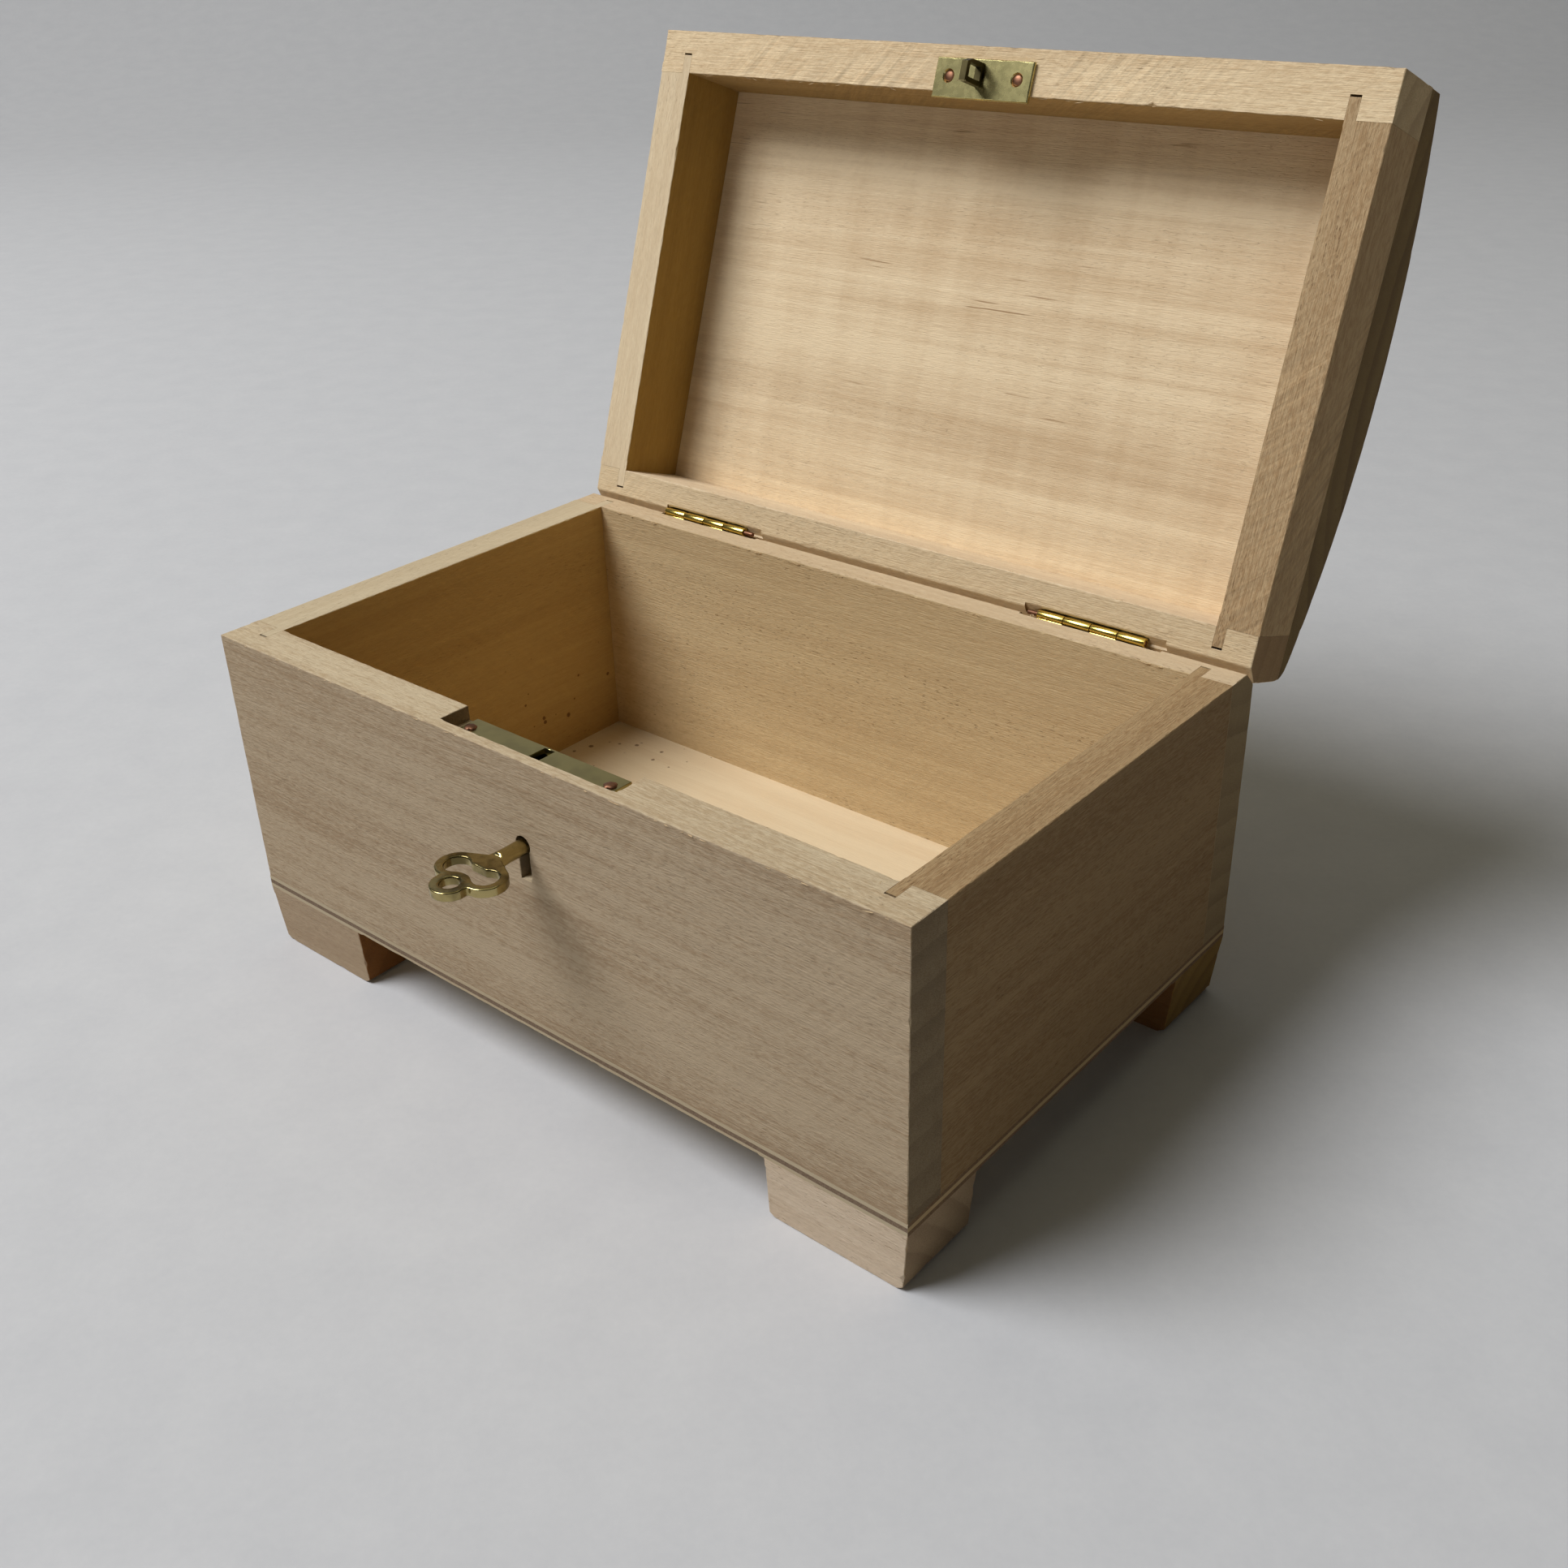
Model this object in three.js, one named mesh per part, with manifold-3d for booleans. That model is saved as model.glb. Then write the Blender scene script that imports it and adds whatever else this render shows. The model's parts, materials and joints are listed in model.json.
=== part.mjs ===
// A small wooden money box: a glued casket on four block feet, with an arched lid on two barrel
// hinges, a half-mortise lock let into the front board, and its key.
// Millimetres, +Z up, the front faces -Y. The lid stands open against its stop.

import * as THREE from 'three';
import { mergeVertices } from 'three/addons/utils/BufferGeometryUtils.js';
import Module from 'manifold-3d';

const wasm = await Module();
wasm.setup();

// ---------------------------------------------------------------- driving dimensions

const WIDTH = 210;                 // along X
const DEPTH = 132;                 // front face to back face, along Y
const RIM = 89.5;                  // rim of the case above the table
const FOOT_HEIGHT = 16.5;
const PLY = 3.2;                   // bottom plate
const SIDE_BOARD = 10.5;           // thickness of the left and right boards
const CROSS_BOARD = 11;            // thickness of the front and back boards
const GLUE_LINE = 0.05;            // gap left between glued boards
const RIM_GAP = 0.2;               // air between the two rims when the lid is shut

// Corner joints: a tongue on the inside of each side board runs into a groove in the cross board.
const TONGUE = 2.6;                // thickness
const TONGUE_REACH = 4.7;
const GROOVE_REACH = 5.2;

// Lid
const LID_SEAM = 17.5;             // lid rim to the seam under the top panel
const LID_CEILING = 21.7;          // lid rim to the ceiling inside
const LID_CROWN = 33.4;            // lid rim to the highest point of the arch
const ARCH_RADIUS = 185;
const ARCH_CENTRE_Y = -4;
const BACK_ROUNDING = 4.5;
const ARCH_STEPS = 40;
const LID_OPEN = THREE.MathUtils.degToRad(108.8);

// Feet
const FOOT_LENGTH = 37;
const FOOT_DEPTH = 24;
const FOOT_TAPER_X = 1.6;
const FOOT_TAPER_Y = 0.9;
const FOOT_CLIP = [2, 1.2];        // clipped bottom corners: along X, up Z

// Hinges
const BACK_CHAMFER = 3.8;
const HINGE_INSET = 2.75;          // axis in from the back face
const HINGE_STARTS = { left: -75.8, right: 49.2 };
const KNUCKLES = 4;
const KNUCKLE_LENGTH = 7.2;
const KNUCKLE_GAP = 0.2;
const BARREL_RADIUS = 1.2;
const PIN_RADIUS = 0.6;
const PIN_BORE = 0.69;
const PIN_STUB = 3.2;              // length of pin left standing out of one end
const LEAF_THICKNESS = 0.8;
const LEAF_REACH = 8;
const BARREL_ROOM = 1.5;           // half width of the channel that holds the barrel
const KERF_PLAY = 0.1;
const CHANNEL_PAST = { left: [0.5, 5.5], right: [4.5, 4.9] };

// Lock, with heights measured down from the rim of the case
const LOCK_X = 1.6;                // key, hook and slot all sit on this line
const FRONT_SKIN = 2.9;            // wood left in front of the lock
const NOTCH_X = [-25.3, 29.4];
const SELVAGE_TOP = 2.4;
const SELVAGE_THICKNESS = 1.2;
const SELVAGE_HALF = 24;
const CASE_HALF = 19.3;
const CASE_BOTTOM = 33.6;
const SHEET = 0.8;                 // sheet metal of the lock case and its cover
const LOCK_FIT = 0.1;
const SLOT_HALF = 1.55;            // hook slot in the selvage, along X
const SLOT_Y = [3.7, 10.4];        // and its ends behind the front face
const KEY_DROP = 21.6;             // key axis below the rim
const KEYHOLE_RADIUS = 2.3;
const KEYHOLE_RISE = 0.3;          // the hole in the wood is bored this much too high
const KEYHOLE_SLOT = 3.4;
const LOCK_NAIL_OFFSET = 21.8;
const NAIL_RADIUS = 0.65;
const NAIL_HOLE = 0.75;
const NAIL_HOLE_DEPTH = 12;
const LOCK_NAIL = { length: 10.5, headRadius: 1.4, headHeight: 0.7 };
const RIVET_OFFSET = 15;           // cover rivets, either side of the lock's own line
const RIVET_DROP = 29;

// Bolt
const BOLT_Y = [5.8, 8.2];         // behind the front face
const BOLT_PLATE_X = [-15.2, 13.5];
const RISER_X = [-14, -7];
const NOSE_SHORT = 1.8;            // nose ends this far before the hook
const TALON_X = [-5.8, 4.6];       // cut-out where the key's bit works
const NOSE_TOP = 4.3;
const NOSE_BOTTOM = 6.8;
const BOLT_PLATE_TOP = 8.9;
const BOLT_PLATE_BOTTOM = 14.6;
const BOLT_THROW = 4.5;
const STUD_X = [-8, 11];
const STUD_DROP = 11;
const STUD_RADIUS = 0.9;
const STUD_COLLAR = 1.8;
const STUD_END = 9.9;              // behind the front face
const SPRING_ROUTE = [[-16.5, 28], [-16.1, 21], [-13.6, 16.9], [-9.4, 14.95], [-7.6, 15.7]];
const SPRING_WIDTH = 2.2;
const SPRING_THICKNESS = 0.4;

// Key
const KEY_RADIUS = 1.8;
const KEY_BORE = 1.05;
const KEY_POST = 0.85;
const KEY_STANDS_OUT = 7;          // stem in front of the front face
const BIT_RADIUS = 8.4;
const BIT_THICKNESS = 2.2;
const BIT_Y = [4.6, 9];            // behind the front face
const BIT_PLAY = 0.3;
const WARD_CUT = { from: 5.2, to: 4, depth: 1.6 };
const BOW_THICKNESS = 2.2;
const BOW_LOBE = { offset: 4.5, reach: 7.5, outer: 4.9, inner: 3 };
const BOW_RING = { reach: 13.4, outer: 4.4, inner: 2.3 };

// Strike plate and hook on the lid
const STRIKE_X = 2.4;
const STRIKE_HALF = 14;
const STRIKE_Y = [3.2, 12.6];      // behind the front face
const STRIKE_THICKNESS = 1.2;
const STRIKE_NAIL = { length: 11, headRadius: 1.35, headHeight: 0.9 };
const STRIKE_SINK = { wide: 1.7, narrow: 0.9 };
const STRIKE_NAIL_OFFSET = 9.9;
const STRIKE_NAIL_Y = 7.5;
const HOOK_THICKNESS = 1.8;
const HOOK_Y = [4.2, 9.8];         // behind the front face
const HOOK_REACH = 8.5;            // lid rim to the hook's tip
const HOOK_WINDOW_Y = [5.4, 8.6];
const HOOK_WINDOW_Z = [2.3, 7.3];
const TENON_SHOULDER = 1.2;        // hook tenon is this much narrower at each end

// ---------------------------------------------------------------- derived places

const HALF_WIDTH = WIDTH / 2;
const FRONT = -DEPTH / 2;
const BACK = DEPTH / 2;
const INSIDE_X = HALF_WIDTH - SIDE_BOARD;
const INSIDE_Y = BACK - CROSS_BOARD;
const WALL_BOTTOM = FOOT_HEIGHT + PLY;
const LID_RIM = RIM + RIM_GAP;
const HINGE_Y = BACK - HINGE_INSET;
const HINGE_Z = RIM + RIM_GAP / 2;
const HINGE_LENGTH = KNUCKLES * KNUCKLE_LENGTH + (KNUCKLES - 1) * KNUCKLE_GAP;
const KEY_Z = RIM - KEY_DROP;
const MIDDLE_Y = 17.85;            // middle of the open box, key and lid included
const PAST = 1;                    // how far a cutter runs past the face that it opens

// ---------------------------------------------------------------- materials

const limewood = new THREE.MeshStandardMaterial({ name: 'limewood', color: 0xcdb48c, roughness: 0.85 });
const plywood = new THREE.MeshStandardMaterial({ name: 'plywood', color: 0xb2936a, roughness: 0.85 });
const brass = new THREE.MeshStandardMaterial({
  name: 'brass', color: 0xb5a55a, roughness: 0.35, metalness: 1,
});
const keyBrass = new THREE.MeshStandardMaterial({
  name: 'key_brass', color: 0x857038, roughness: 0.4, metalness: 1,
});
const copper = new THREE.MeshStandardMaterial({
  name: 'copper', color: 0xa8664f, roughness: 0.4, metalness: 1,
});
const steel = new THREE.MeshStandardMaterial({
  name: 'steel', color: 0x4c4a46, roughness: 0.5, metalness: 1,
});

// ---------------------------------------------------------------- solids

function solid(geometry) {
  geometry.deleteAttribute('normal');
  geometry.deleteAttribute('uv');
  const merged = mergeVertices(geometry, 1e-5);
  return new wasm.Manifold(new wasm.Mesh({
    numProp: 3,
    vertProperties: merged.attributes.position.array,
    triVerts: Uint32Array.from(merged.index.array),
  }));
}

function block([x0, x1], [y0, y1], [z0, z1]) {
  const geometry = new THREE.BoxGeometry(x1 - x0, y1 - y0, z1 - z0);
  geometry.translate((x0 + x1) / 2, (y0 + y1) / 2, (z0 + z1) / 2);
  return solid(geometry);
}

// Pushes an outline along an axis. Its own plane is YZ for 'x', XZ for 'y' and XY for 'z'.
function prism(shape, axis, [from, to]) {
  const geometry = new THREE.ExtrudeGeometry(shape, {
    depth: to - from, bevelEnabled: false, curveSegments: 24,
  });
  const [x, y, z] = [new THREE.Vector3(1, 0, 0), new THREE.Vector3(0, 1, 0), new THREE.Vector3(0, 0, 1)];
  const placed = new THREE.Matrix4();
  if (axis === 'x') {
    placed.makeBasis(y, z, x).setPosition(from, 0, 0);
  } else if (axis === 'y') {
    placed.makeBasis(x, z, y.negate()).setPosition(0, to, 0);
  } else {
    placed.setPosition(0, 0, from);
  }
  geometry.applyMatrix4(placed);
  return solid(geometry);
}

// A round bar along an axis, through the point given by its other two coordinates.
function rod(axis, [u, v], [from, to], radius, sides = 24) {
  const geometry = new THREE.CylinderGeometry(radius, radius, to - from, sides);
  const middle = (from + to) / 2;
  if (axis === 'x') {
    geometry.rotateZ(-Math.PI / 2).translate(middle, u, v);
  } else if (axis === 'y') {
    geometry.translate(u, middle, v);
  } else {
    geometry.rotateX(Math.PI / 2).translate(u, v, middle);
  }
  return solid(geometry);
}

function outline(points) {
  return new THREE.Shape(points.map(([u, v]) => new THREE.Vector2(u, v)));
}

// A turned solid standing on the XY plane, from its half profile of [radius, height] points.
function turned(profile) {
  const geometry = new THREE.LatheGeometry(profile.map(([r, h]) => new THREE.Vector2(r, h)), 20);
  geometry.rotateX(Math.PI / 2);
  return solid(geometry);
}

function piece(name, body, material) {
  const { vertProperties, triVerts } = body.getMesh();
  const shared = new THREE.BufferGeometry();
  shared.setAttribute('position', new THREE.BufferAttribute(vertProperties, 3));
  shared.setIndex(new THREE.BufferAttribute(triVerts, 1));
  const geometry = shared.toNonIndexed();
  geometry.computeVertexNormals();
  const mesh = new THREE.Mesh(geometry, material);
  mesh.name = name;
  return mesh;
}

// Ends of a span given as distances behind the front face.
function behindFront([near, far]) {
  return [FRONT + near, FRONT + far];
}

function around(centre, half) {
  return [centre - half, centre + half];
}

// ---------------------------------------------------------------- boards and corner joints

// A left or right board with a tongue at each end, from z0 to z1. side is -1 or +1.
function sideBoard(side, z0, z1) {
  const inner = INSIDE_X + GLUE_LINE;
  const board = block([inner, HALF_WIDTH], around(0, INSIDE_Y - GLUE_LINE), [z0, z1]);
  const tongue = block([inner, INSIDE_X + TONGUE], around(0, INSIDE_Y + TONGUE_REACH), [z0, z1]);
  const right = board.add(tongue);
  return side > 0 ? right : right.mirror([1, 0, 0]);
}

// The two grooves that take the tongues in a front (side -1) or back (side +1) board.
function cornerGrooves(side, z0, z1) {
  const across = [INSIDE_X, INSIDE_X + TONGUE + GLUE_LINE];
  const deep = [INSIDE_Y - PAST, INSIDE_Y + GROOVE_REACH];
  const right = block(across, deep, [z0 - PAST, z1 + PAST]);
  const both = right.add(right.mirror([1, 0, 0]));
  return side > 0 ? both : both.mirror([0, 1, 0]);
}

// ---------------------------------------------------------------- hinges

// Works in the hinge's own frame: the axis is X, and the leaf lies along -Y. The case's leaf then
// leans 45 degrees down into the back board, and the lid's leaf mirrors it upwards.
function atHinge(body, onLid) {
  return body.rotate([onLid ? -45 : 45, 0, 0]).translate([0, HINGE_Y, HINGE_Z]);
}

function knuckleSpan(start, index) {
  const from = start + index * (KNUCKLE_LENGTH + KNUCKLE_GAP);
  return [from, from + KNUCKLE_LENGTH];
}

function hingeLeaf(start, onLid) {
  const half = LEAF_THICKNESS / 2;
  let leaf = block([start, start + HINGE_LENGTH], [-LEAF_REACH, -BARREL_ROOM], [-half, half]);
  for (let index = onLid ? 1 : 0; index < KNUCKLES; index += 2) {
    const span = knuckleSpan(start, index);
    leaf = leaf.add(block(span, [-BARREL_ROOM - half, 0], [-half, half]));
    leaf = leaf.add(rod('x', [0, 0], span, BARREL_RADIUS));
  }
  const bore = rod('x', [0, 0], [start - PAST, start + HINGE_LENGTH + PAST], PIN_BORE);
  return atHinge(leaf.subtract(bore), onLid);
}

// The saw kerf for the leaf and the wider channel for the barrel.
function hingeSlot(start, [before, after], onLid) {
  const end = start + HINGE_LENGTH;
  const half = LEAF_THICKNESS / 2 + KERF_PLAY;
  const kerf = block([start - KERF_PLAY, end + KERF_PLAY], [-LEAF_REACH - KERF_PLAY, 0], [-half, half]);
  const room = [-BARREL_ROOM, BACK_CHAMFER];
  const channel = block([start - before, end + after], room, [-BARREL_ROOM, BARREL_ROOM]);
  return atHinge(kerf.add(channel), onLid);
}

function hingePin(side) {
  const start = HINGE_STARTS[side];
  const end = start + HINGE_LENGTH;
  const span = side === 'left' ? [start, end + PIN_STUB] : [start - PIN_STUB, end];
  return rod('x', [HINGE_Y, HINGE_Z], span, PIN_RADIUS, 16);
}

function cutHingeSlots(board, onLid) {
  for (const side of ['left', 'right']) {
    board = board.subtract(hingeSlot(HINGE_STARTS[side], CHANNEL_PAST[side], onLid));
  }
  return board;
}

// ---------------------------------------------------------------- case

function keyholeCutter(radius, slotWidth, centreZ, span) {
  const foot = KEY_Z - BIT_RADIUS - BIT_PLAY;
  const hole = rod('y', [LOCK_X, centreZ], span, radius);
  return hole.add(block(around(LOCK_X, slotWidth / 2), span, [foot, centreZ]));
}

function frontBoard() {
  const whole = block([-HALF_WIDTH, HALF_WIDTH], [FRONT, -INSIDE_Y], [WALL_BOTTOM, RIM]);
  const behindSkin = [FRONT + FRONT_SKIN, -INSIDE_Y + PAST];
  const ledge = RIM - SELVAGE_TOP - SELVAGE_THICKNESS;
  const notch = block(NOTCH_X, behindSkin, [ledge, RIM + PAST]);
  const pocketX = around(LOCK_X, CASE_HALF + 3 * LOCK_FIT);
  const pocket = block(pocketX, behindSkin, [RIM - CASE_BOTTOM - 3 * LOCK_FIT, ledge + PAST]);
  const keyhole = keyholeCutter(KEYHOLE_RADIUS, KEYHOLE_SLOT, KEY_Z + KEYHOLE_RISE,
    [FRONT - PAST, FRONT + FRONT_SKIN + PAST]);
  let board = whole.subtract(cornerGrooves(-1, WALL_BOTTOM, RIM));
  board = board.subtract(notch).subtract(pocket).subtract(keyhole);
  for (const side of [-1, 1]) {
    const place = [LOCK_X + side * LOCK_NAIL_OFFSET, selvageMiddle()];
    board = board.subtract(rod('z', place, [ledge - NAIL_HOLE_DEPTH, ledge + PAST], NAIL_HOLE, 12));
  }
  return board;
}

function backBoard() {
  const profile = outline([
    [INSIDE_Y, WALL_BOTTOM], [BACK, WALL_BOTTOM], [BACK, RIM - BACK_CHAMFER],
    [BACK - BACK_CHAMFER, RIM], [INSIDE_Y, RIM],
  ]);
  const board = prism(profile, 'x', [-HALF_WIDTH, HALF_WIDTH]);
  return cutHingeSlots(board.subtract(cornerGrooves(1, WALL_BOTTOM, RIM)), false);
}

// One block foot. sideX and sideY say which corner it stands under.
function foot(sideX, sideY) {
  const inner = HALF_WIDTH - FOOT_LENGTH;
  const [clipX, clipZ] = FOOT_CLIP;
  const profile = outline([
    [inner, clipZ], [inner + clipX, 0], [HALF_WIDTH - FOOT_TAPER_X - clipX, 0],
    [HALF_WIDTH - FOOT_TAPER_X, clipZ], [HALF_WIDTH, FOOT_HEIGHT], [inner, FOOT_HEIGHT],
  ]);
  const taper = outline([
    [BACK - FOOT_TAPER_Y, 0], [BACK, FOOT_HEIGHT], [BACK + PAST, FOOT_HEIGHT],
    [BACK + PAST, -PAST], [BACK - FOOT_TAPER_Y, -PAST],
  ]);
  let body = prism(profile, 'y', [BACK - FOOT_DEPTH, BACK]);
  body = body.subtract(prism(taper, 'x', [0, HALF_WIDTH + PAST]));
  if (sideX < 0) {
    body = body.mirror([1, 0, 0]);
  }
  return sideY < 0 ? body.mirror([0, 1, 0]) : body;
}

// ---------------------------------------------------------------- lock

function selvageMiddle() {
  return (FRONT + FRONT_SKIN - INSIDE_Y) / 2;
}

function lockCase() {
  const face = FRONT + FRONT_SKIN + LOCK_FIT;
  const top = RIM - SELVAGE_TOP;
  const under = top - SELVAGE_THICKNESS;
  const bottom = RIM - CASE_BOTTOM;
  const selvage = block(around(LOCK_X, SELVAGE_HALF), [face, -INSIDE_Y], [under, top]);
  const shell = block(around(LOCK_X, CASE_HALF), [face, -INSIDE_Y], [bottom, under + SHEET / 2]);
  const hollow = block(around(LOCK_X, CASE_HALF - SHEET), [face + SHEET, -INSIDE_Y + PAST],
    [bottom + SHEET, under]);
  let body = shell.subtract(hollow).add(selvage);
  for (const x of STUD_X) {
    const centre = [x, RIM - STUD_DROP];
    const collarEnd = FRONT + BOLT_Y[0] - LOCK_FIT;
    body = body.add(rod('y', centre, [face + SHEET / 2, collarEnd], STUD_COLLAR, 20));
    body = body.add(rod('y', centre, [collarEnd - SHEET / 2, FRONT + STUD_END], STUD_RADIUS, 16));
  }
  const through = [under - PAST, top + PAST];
  body = body.subtract(block(around(LOCK_X, SLOT_HALF), behindFront(SLOT_Y), through));
  body = body.subtract(keyholeCutter(KEY_RADIUS + 2 * LOCK_FIT, BIT_THICKNESS + BIT_PLAY, KEY_Z,
    [face - PAST, face + SHEET + PAST]));
  for (const side of [-1, 1]) {
    const place = [LOCK_X + side * LOCK_NAIL_OFFSET, selvageMiddle()];
    body = body.subtract(rod('z', place, through, NAIL_HOLE, 12));
    body = body.subtract(rod('y', rivetPlace(side), [face - PAST, face + SHEET + PAST], NAIL_HOLE, 12));
  }
  return body;
}

function rivetPlace(side) {
  return [LOCK_X + side * RIVET_OFFSET, RIM - RIVET_DROP];
}

function coverSpan() {
  const outer = -INSIDE_Y - LOCK_FIT;
  return [outer - SHEET, outer];
}

function lockCover() {
  const top = RIM - SELVAGE_TOP - SELVAGE_THICKNESS - LOCK_FIT;
  const bottom = RIM - CASE_BOTTOM + SHEET + LOCK_FIT;
  const [inner, outer] = coverSpan();
  let cover = block(around(LOCK_X, CASE_HALF - SHEET - LOCK_FIT), [inner, outer], [bottom, top]);
  for (const side of [-1, 1]) {
    cover = cover.subtract(rod('y', rivetPlace(side), [inner - PAST, outer + PAST], NAIL_HOLE, 12));
  }
  return cover.subtract(rod('y', [LOCK_X, KEY_Z], [inner - PAST, outer + PAST], KEY_POST + LOCK_FIT, 16));
}

function coverRivet(side) {
  const [, outer] = coverSpan();
  return rod('y', rivetPlace(side), [FRONT + FRONT_SKIN + LOCK_FIT, outer], NAIL_RADIUS, 12);
}

function keyPost() {
  const [, outer] = coverSpan();
  return rod('y', [LOCK_X, KEY_Z], [FRONT + FRONT_SKIN + BIT_PLAY, outer], KEY_POST, 16);
}

// The bolt is drawn withdrawn. It slides towards +X, and its nose then fills the hook's window.
function lockBolt() {
  const span = behindFront(BOLT_Y);
  const down = (drop) => RIM - drop;
  const plate = block(BOLT_PLATE_X, span, [down(BOLT_PLATE_BOTTOM), down(BOLT_PLATE_TOP)]);
  const riser = block(RISER_X, span, [down(BOLT_PLATE_TOP + PAST), down(NOSE_TOP)]);
  const noseX = [RISER_X[0], LOCK_X - NOSE_SHORT];
  const nose = block(noseX, span, [down(NOSE_BOTTOM), down(NOSE_TOP)]);
  const cutSpan = [span[0] - PAST, span[1] + PAST];
  const talonTop = down(KEY_DROP - BIT_RADIUS - BIT_PLAY);
  const talon = block(TALON_X, cutSpan, [down(BOLT_PLATE_BOTTOM + PAST), talonTop]);
  let bolt = plate.add(riser).add(nose).subtract(talon);
  for (const x of STUD_X) {
    const half = STUD_RADIUS + 2 * LOCK_FIT;
    bolt = bolt.subtract(block([x - BOLT_THROW - half, x + half], cutSpan, around(down(STUD_DROP), half)));
  }
  return bolt;
}

// A bent leaf of spring steel that holds the bolt up by its lower edge.
function boltSpring() {
  const middle = (BOLT_Y[0] + BOLT_Y[1]) / 2;
  const points = SPRING_ROUTE.map(([x, drop]) => new THREE.Vector3(x, FRONT + middle, RIM - drop));
  const route = new THREE.CatmullRomCurve3(points);
  const [u, v] = [SPRING_WIDTH / 2, SPRING_THICKNESS / 2];
  const section = outline([[-u, -v], [u, -v], [u, v], [-u, v]]);
  return solid(new THREE.ExtrudeGeometry(section, { steps: 20, extrudePath: route }));
}

// Shank down, head up, with the underside of the head at height 0.
function nail({ length, headRadius, headHeight }, sunk) {
  const shoulder = [[NAIL_RADIUS, sunk ? -headHeight : 0], [headRadius, 0]];
  const crown = sunk ? [[0, 0]] : [[headRadius * 0.7, headHeight * 0.85], [0, headHeight]];
  const point = [[0, -length], [NAIL_RADIUS * 0.5, 1 - length], [NAIL_RADIUS, 2.2 - length]];
  return turned([...point, ...shoulder, ...crown]);
}

function lockNail(side) {
  const seat = RIM - SELVAGE_TOP + GLUE_LINE / 2;
  return nail(LOCK_NAIL, false).translate([LOCK_X + side * LOCK_NAIL_OFFSET, selvageMiddle(), seat]);
}

// ---------------------------------------------------------------- key

// The bow lies flat: two large lobes beside a kidney-shaped eye, and a small ring at the far end.
function keyBow() {
  const span = around(KEY_Z, BOW_THICKNESS / 2);
  const cutSpan = around(KEY_Z, BOW_THICKNESS);
  const start = FRONT - KEY_STANDS_OUT;
  const lobeY = start - BOW_LOBE.reach;
  const neck = outline([
    [LOCK_X - 1.7, start + 1.5], [LOCK_X - 1.9, start - 0.8], [LOCK_X - 7, start - 3.3],
    [LOCK_X, start - 7], [LOCK_X + 7, start - 3.3], [LOCK_X + 1.9, start - 0.8],
    [LOCK_X + 1.7, start + 1.5],
  ]);
  let bow = prism(neck, 'z', span);
  let eye = block(around(LOCK_X, BOW_LOBE.offset), [lobeY - 2.4, lobeY + 2.1], cutSpan);
  for (const side of [-1, 1]) {
    const centre = [LOCK_X + side * BOW_LOBE.offset, lobeY];
    bow = bow.add(rod('z', centre, span, BOW_LOBE.outer, 36));
    eye = eye.add(rod('z', centre, cutSpan, BOW_LOBE.inner, 24));
  }
  const ringCentre = [LOCK_X, start - BOW_RING.reach];
  const ring = rod('z', ringCentre, span, BOW_RING.outer, 32);
  return bow.subtract(eye).add(ring).subtract(rod('z', ringCentre, cutSpan, BOW_RING.inner, 20));
}

function key() {
  const tail = FRONT - KEY_STANDS_OUT;
  const tip = coverSpan()[0] - 0.4;
  const stem = rod('y', [LOCK_X, KEY_Z], [tail, tip], KEY_RADIUS);
  const bore = rod('y', [LOCK_X, KEY_Z], [FRONT + 2.4, tip + PAST], KEY_BORE, 16);
  const [bitNear, bitFar] = behindFront(BIT_Y);
  const bitZ = around(KEY_Z, BIT_THICKNESS / 2);
  const bit = block([LOCK_X - BIT_RADIUS + BIT_PLAY, LOCK_X], [bitNear, bitFar], bitZ);
  const wardX = [LOCK_X - WARD_CUT.from, LOCK_X - WARD_CUT.to];
  const ward = block(wardX, [bitFar - WARD_CUT.depth, bitFar + PAST], around(KEY_Z, BIT_THICKNESS));
  return stem.add(bit.subtract(ward)).add(keyBow()).subtract(bore);
}

// ---------------------------------------------------------------- lid, drawn shut

function lidSideBoard(side) {
  const seam = LID_RIM + LID_SEAM - GLUE_LINE;
  const lip = block([INSIDE_X + GLUE_LINE, INSIDE_X + TONGUE], around(0, INSIDE_Y - GLUE_LINE),
    [LID_RIM, LID_RIM + LID_CEILING]);
  return sideBoard(side, LID_RIM, seam).add(side > 0 ? lip : lip.mirror([1, 0, 0]));
}

function lidCrossBoard(side) {
  const seam = LID_RIM + LID_SEAM - GLUE_LINE;
  const top = LID_RIM + LID_CEILING;
  const chamfer = side > 0 ? BACK_CHAMFER : 0;
  const profile = [
    [INSIDE_Y, LID_RIM], [BACK - chamfer, LID_RIM], [BACK, LID_RIM + chamfer], [BACK, seam],
    [INSIDE_Y + TONGUE, seam], [INSIDE_Y + TONGUE, top], [INSIDE_Y, top],
  ].filter(([y, z], i, all) => i === 0 || y !== all[i - 1][0] || z !== all[i - 1][1]);
  let board = prism(outline(profile), 'x', [-HALF_WIDTH, HALF_WIDTH]);
  const cornerLip = block([INSIDE_X - GLUE_LINE, HALF_WIDTH + PAST], [0, BACK], [seam, top + PAST]);
  board = board.subtract(cornerLip).subtract(cornerLip.mirror([1, 0, 0]));
  board = board.subtract(cornerGrooves(1, LID_RIM, top));
  if (side > 0) {
    return cutHingeSlots(board.intersect(lidEnvelope()), true);
  }
  board = board.mirror([0, 1, 0]);
  for (const end of [-1, 1]) {
    const span = [LID_RIM - PAST, LID_RIM + NAIL_HOLE_DEPTH];
    board = board.subtract(rod('z', strikeNailPlace(end), span, NAIL_HOLE, 12));
  }
  return board;
}

function archHeight(y) {
  const drop = ARCH_RADIUS - Math.sqrt(ARCH_RADIUS ** 2 - (y - ARCH_CENTRE_Y) ** 2);
  return LID_RIM + LID_CROWN - drop;
}

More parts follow.
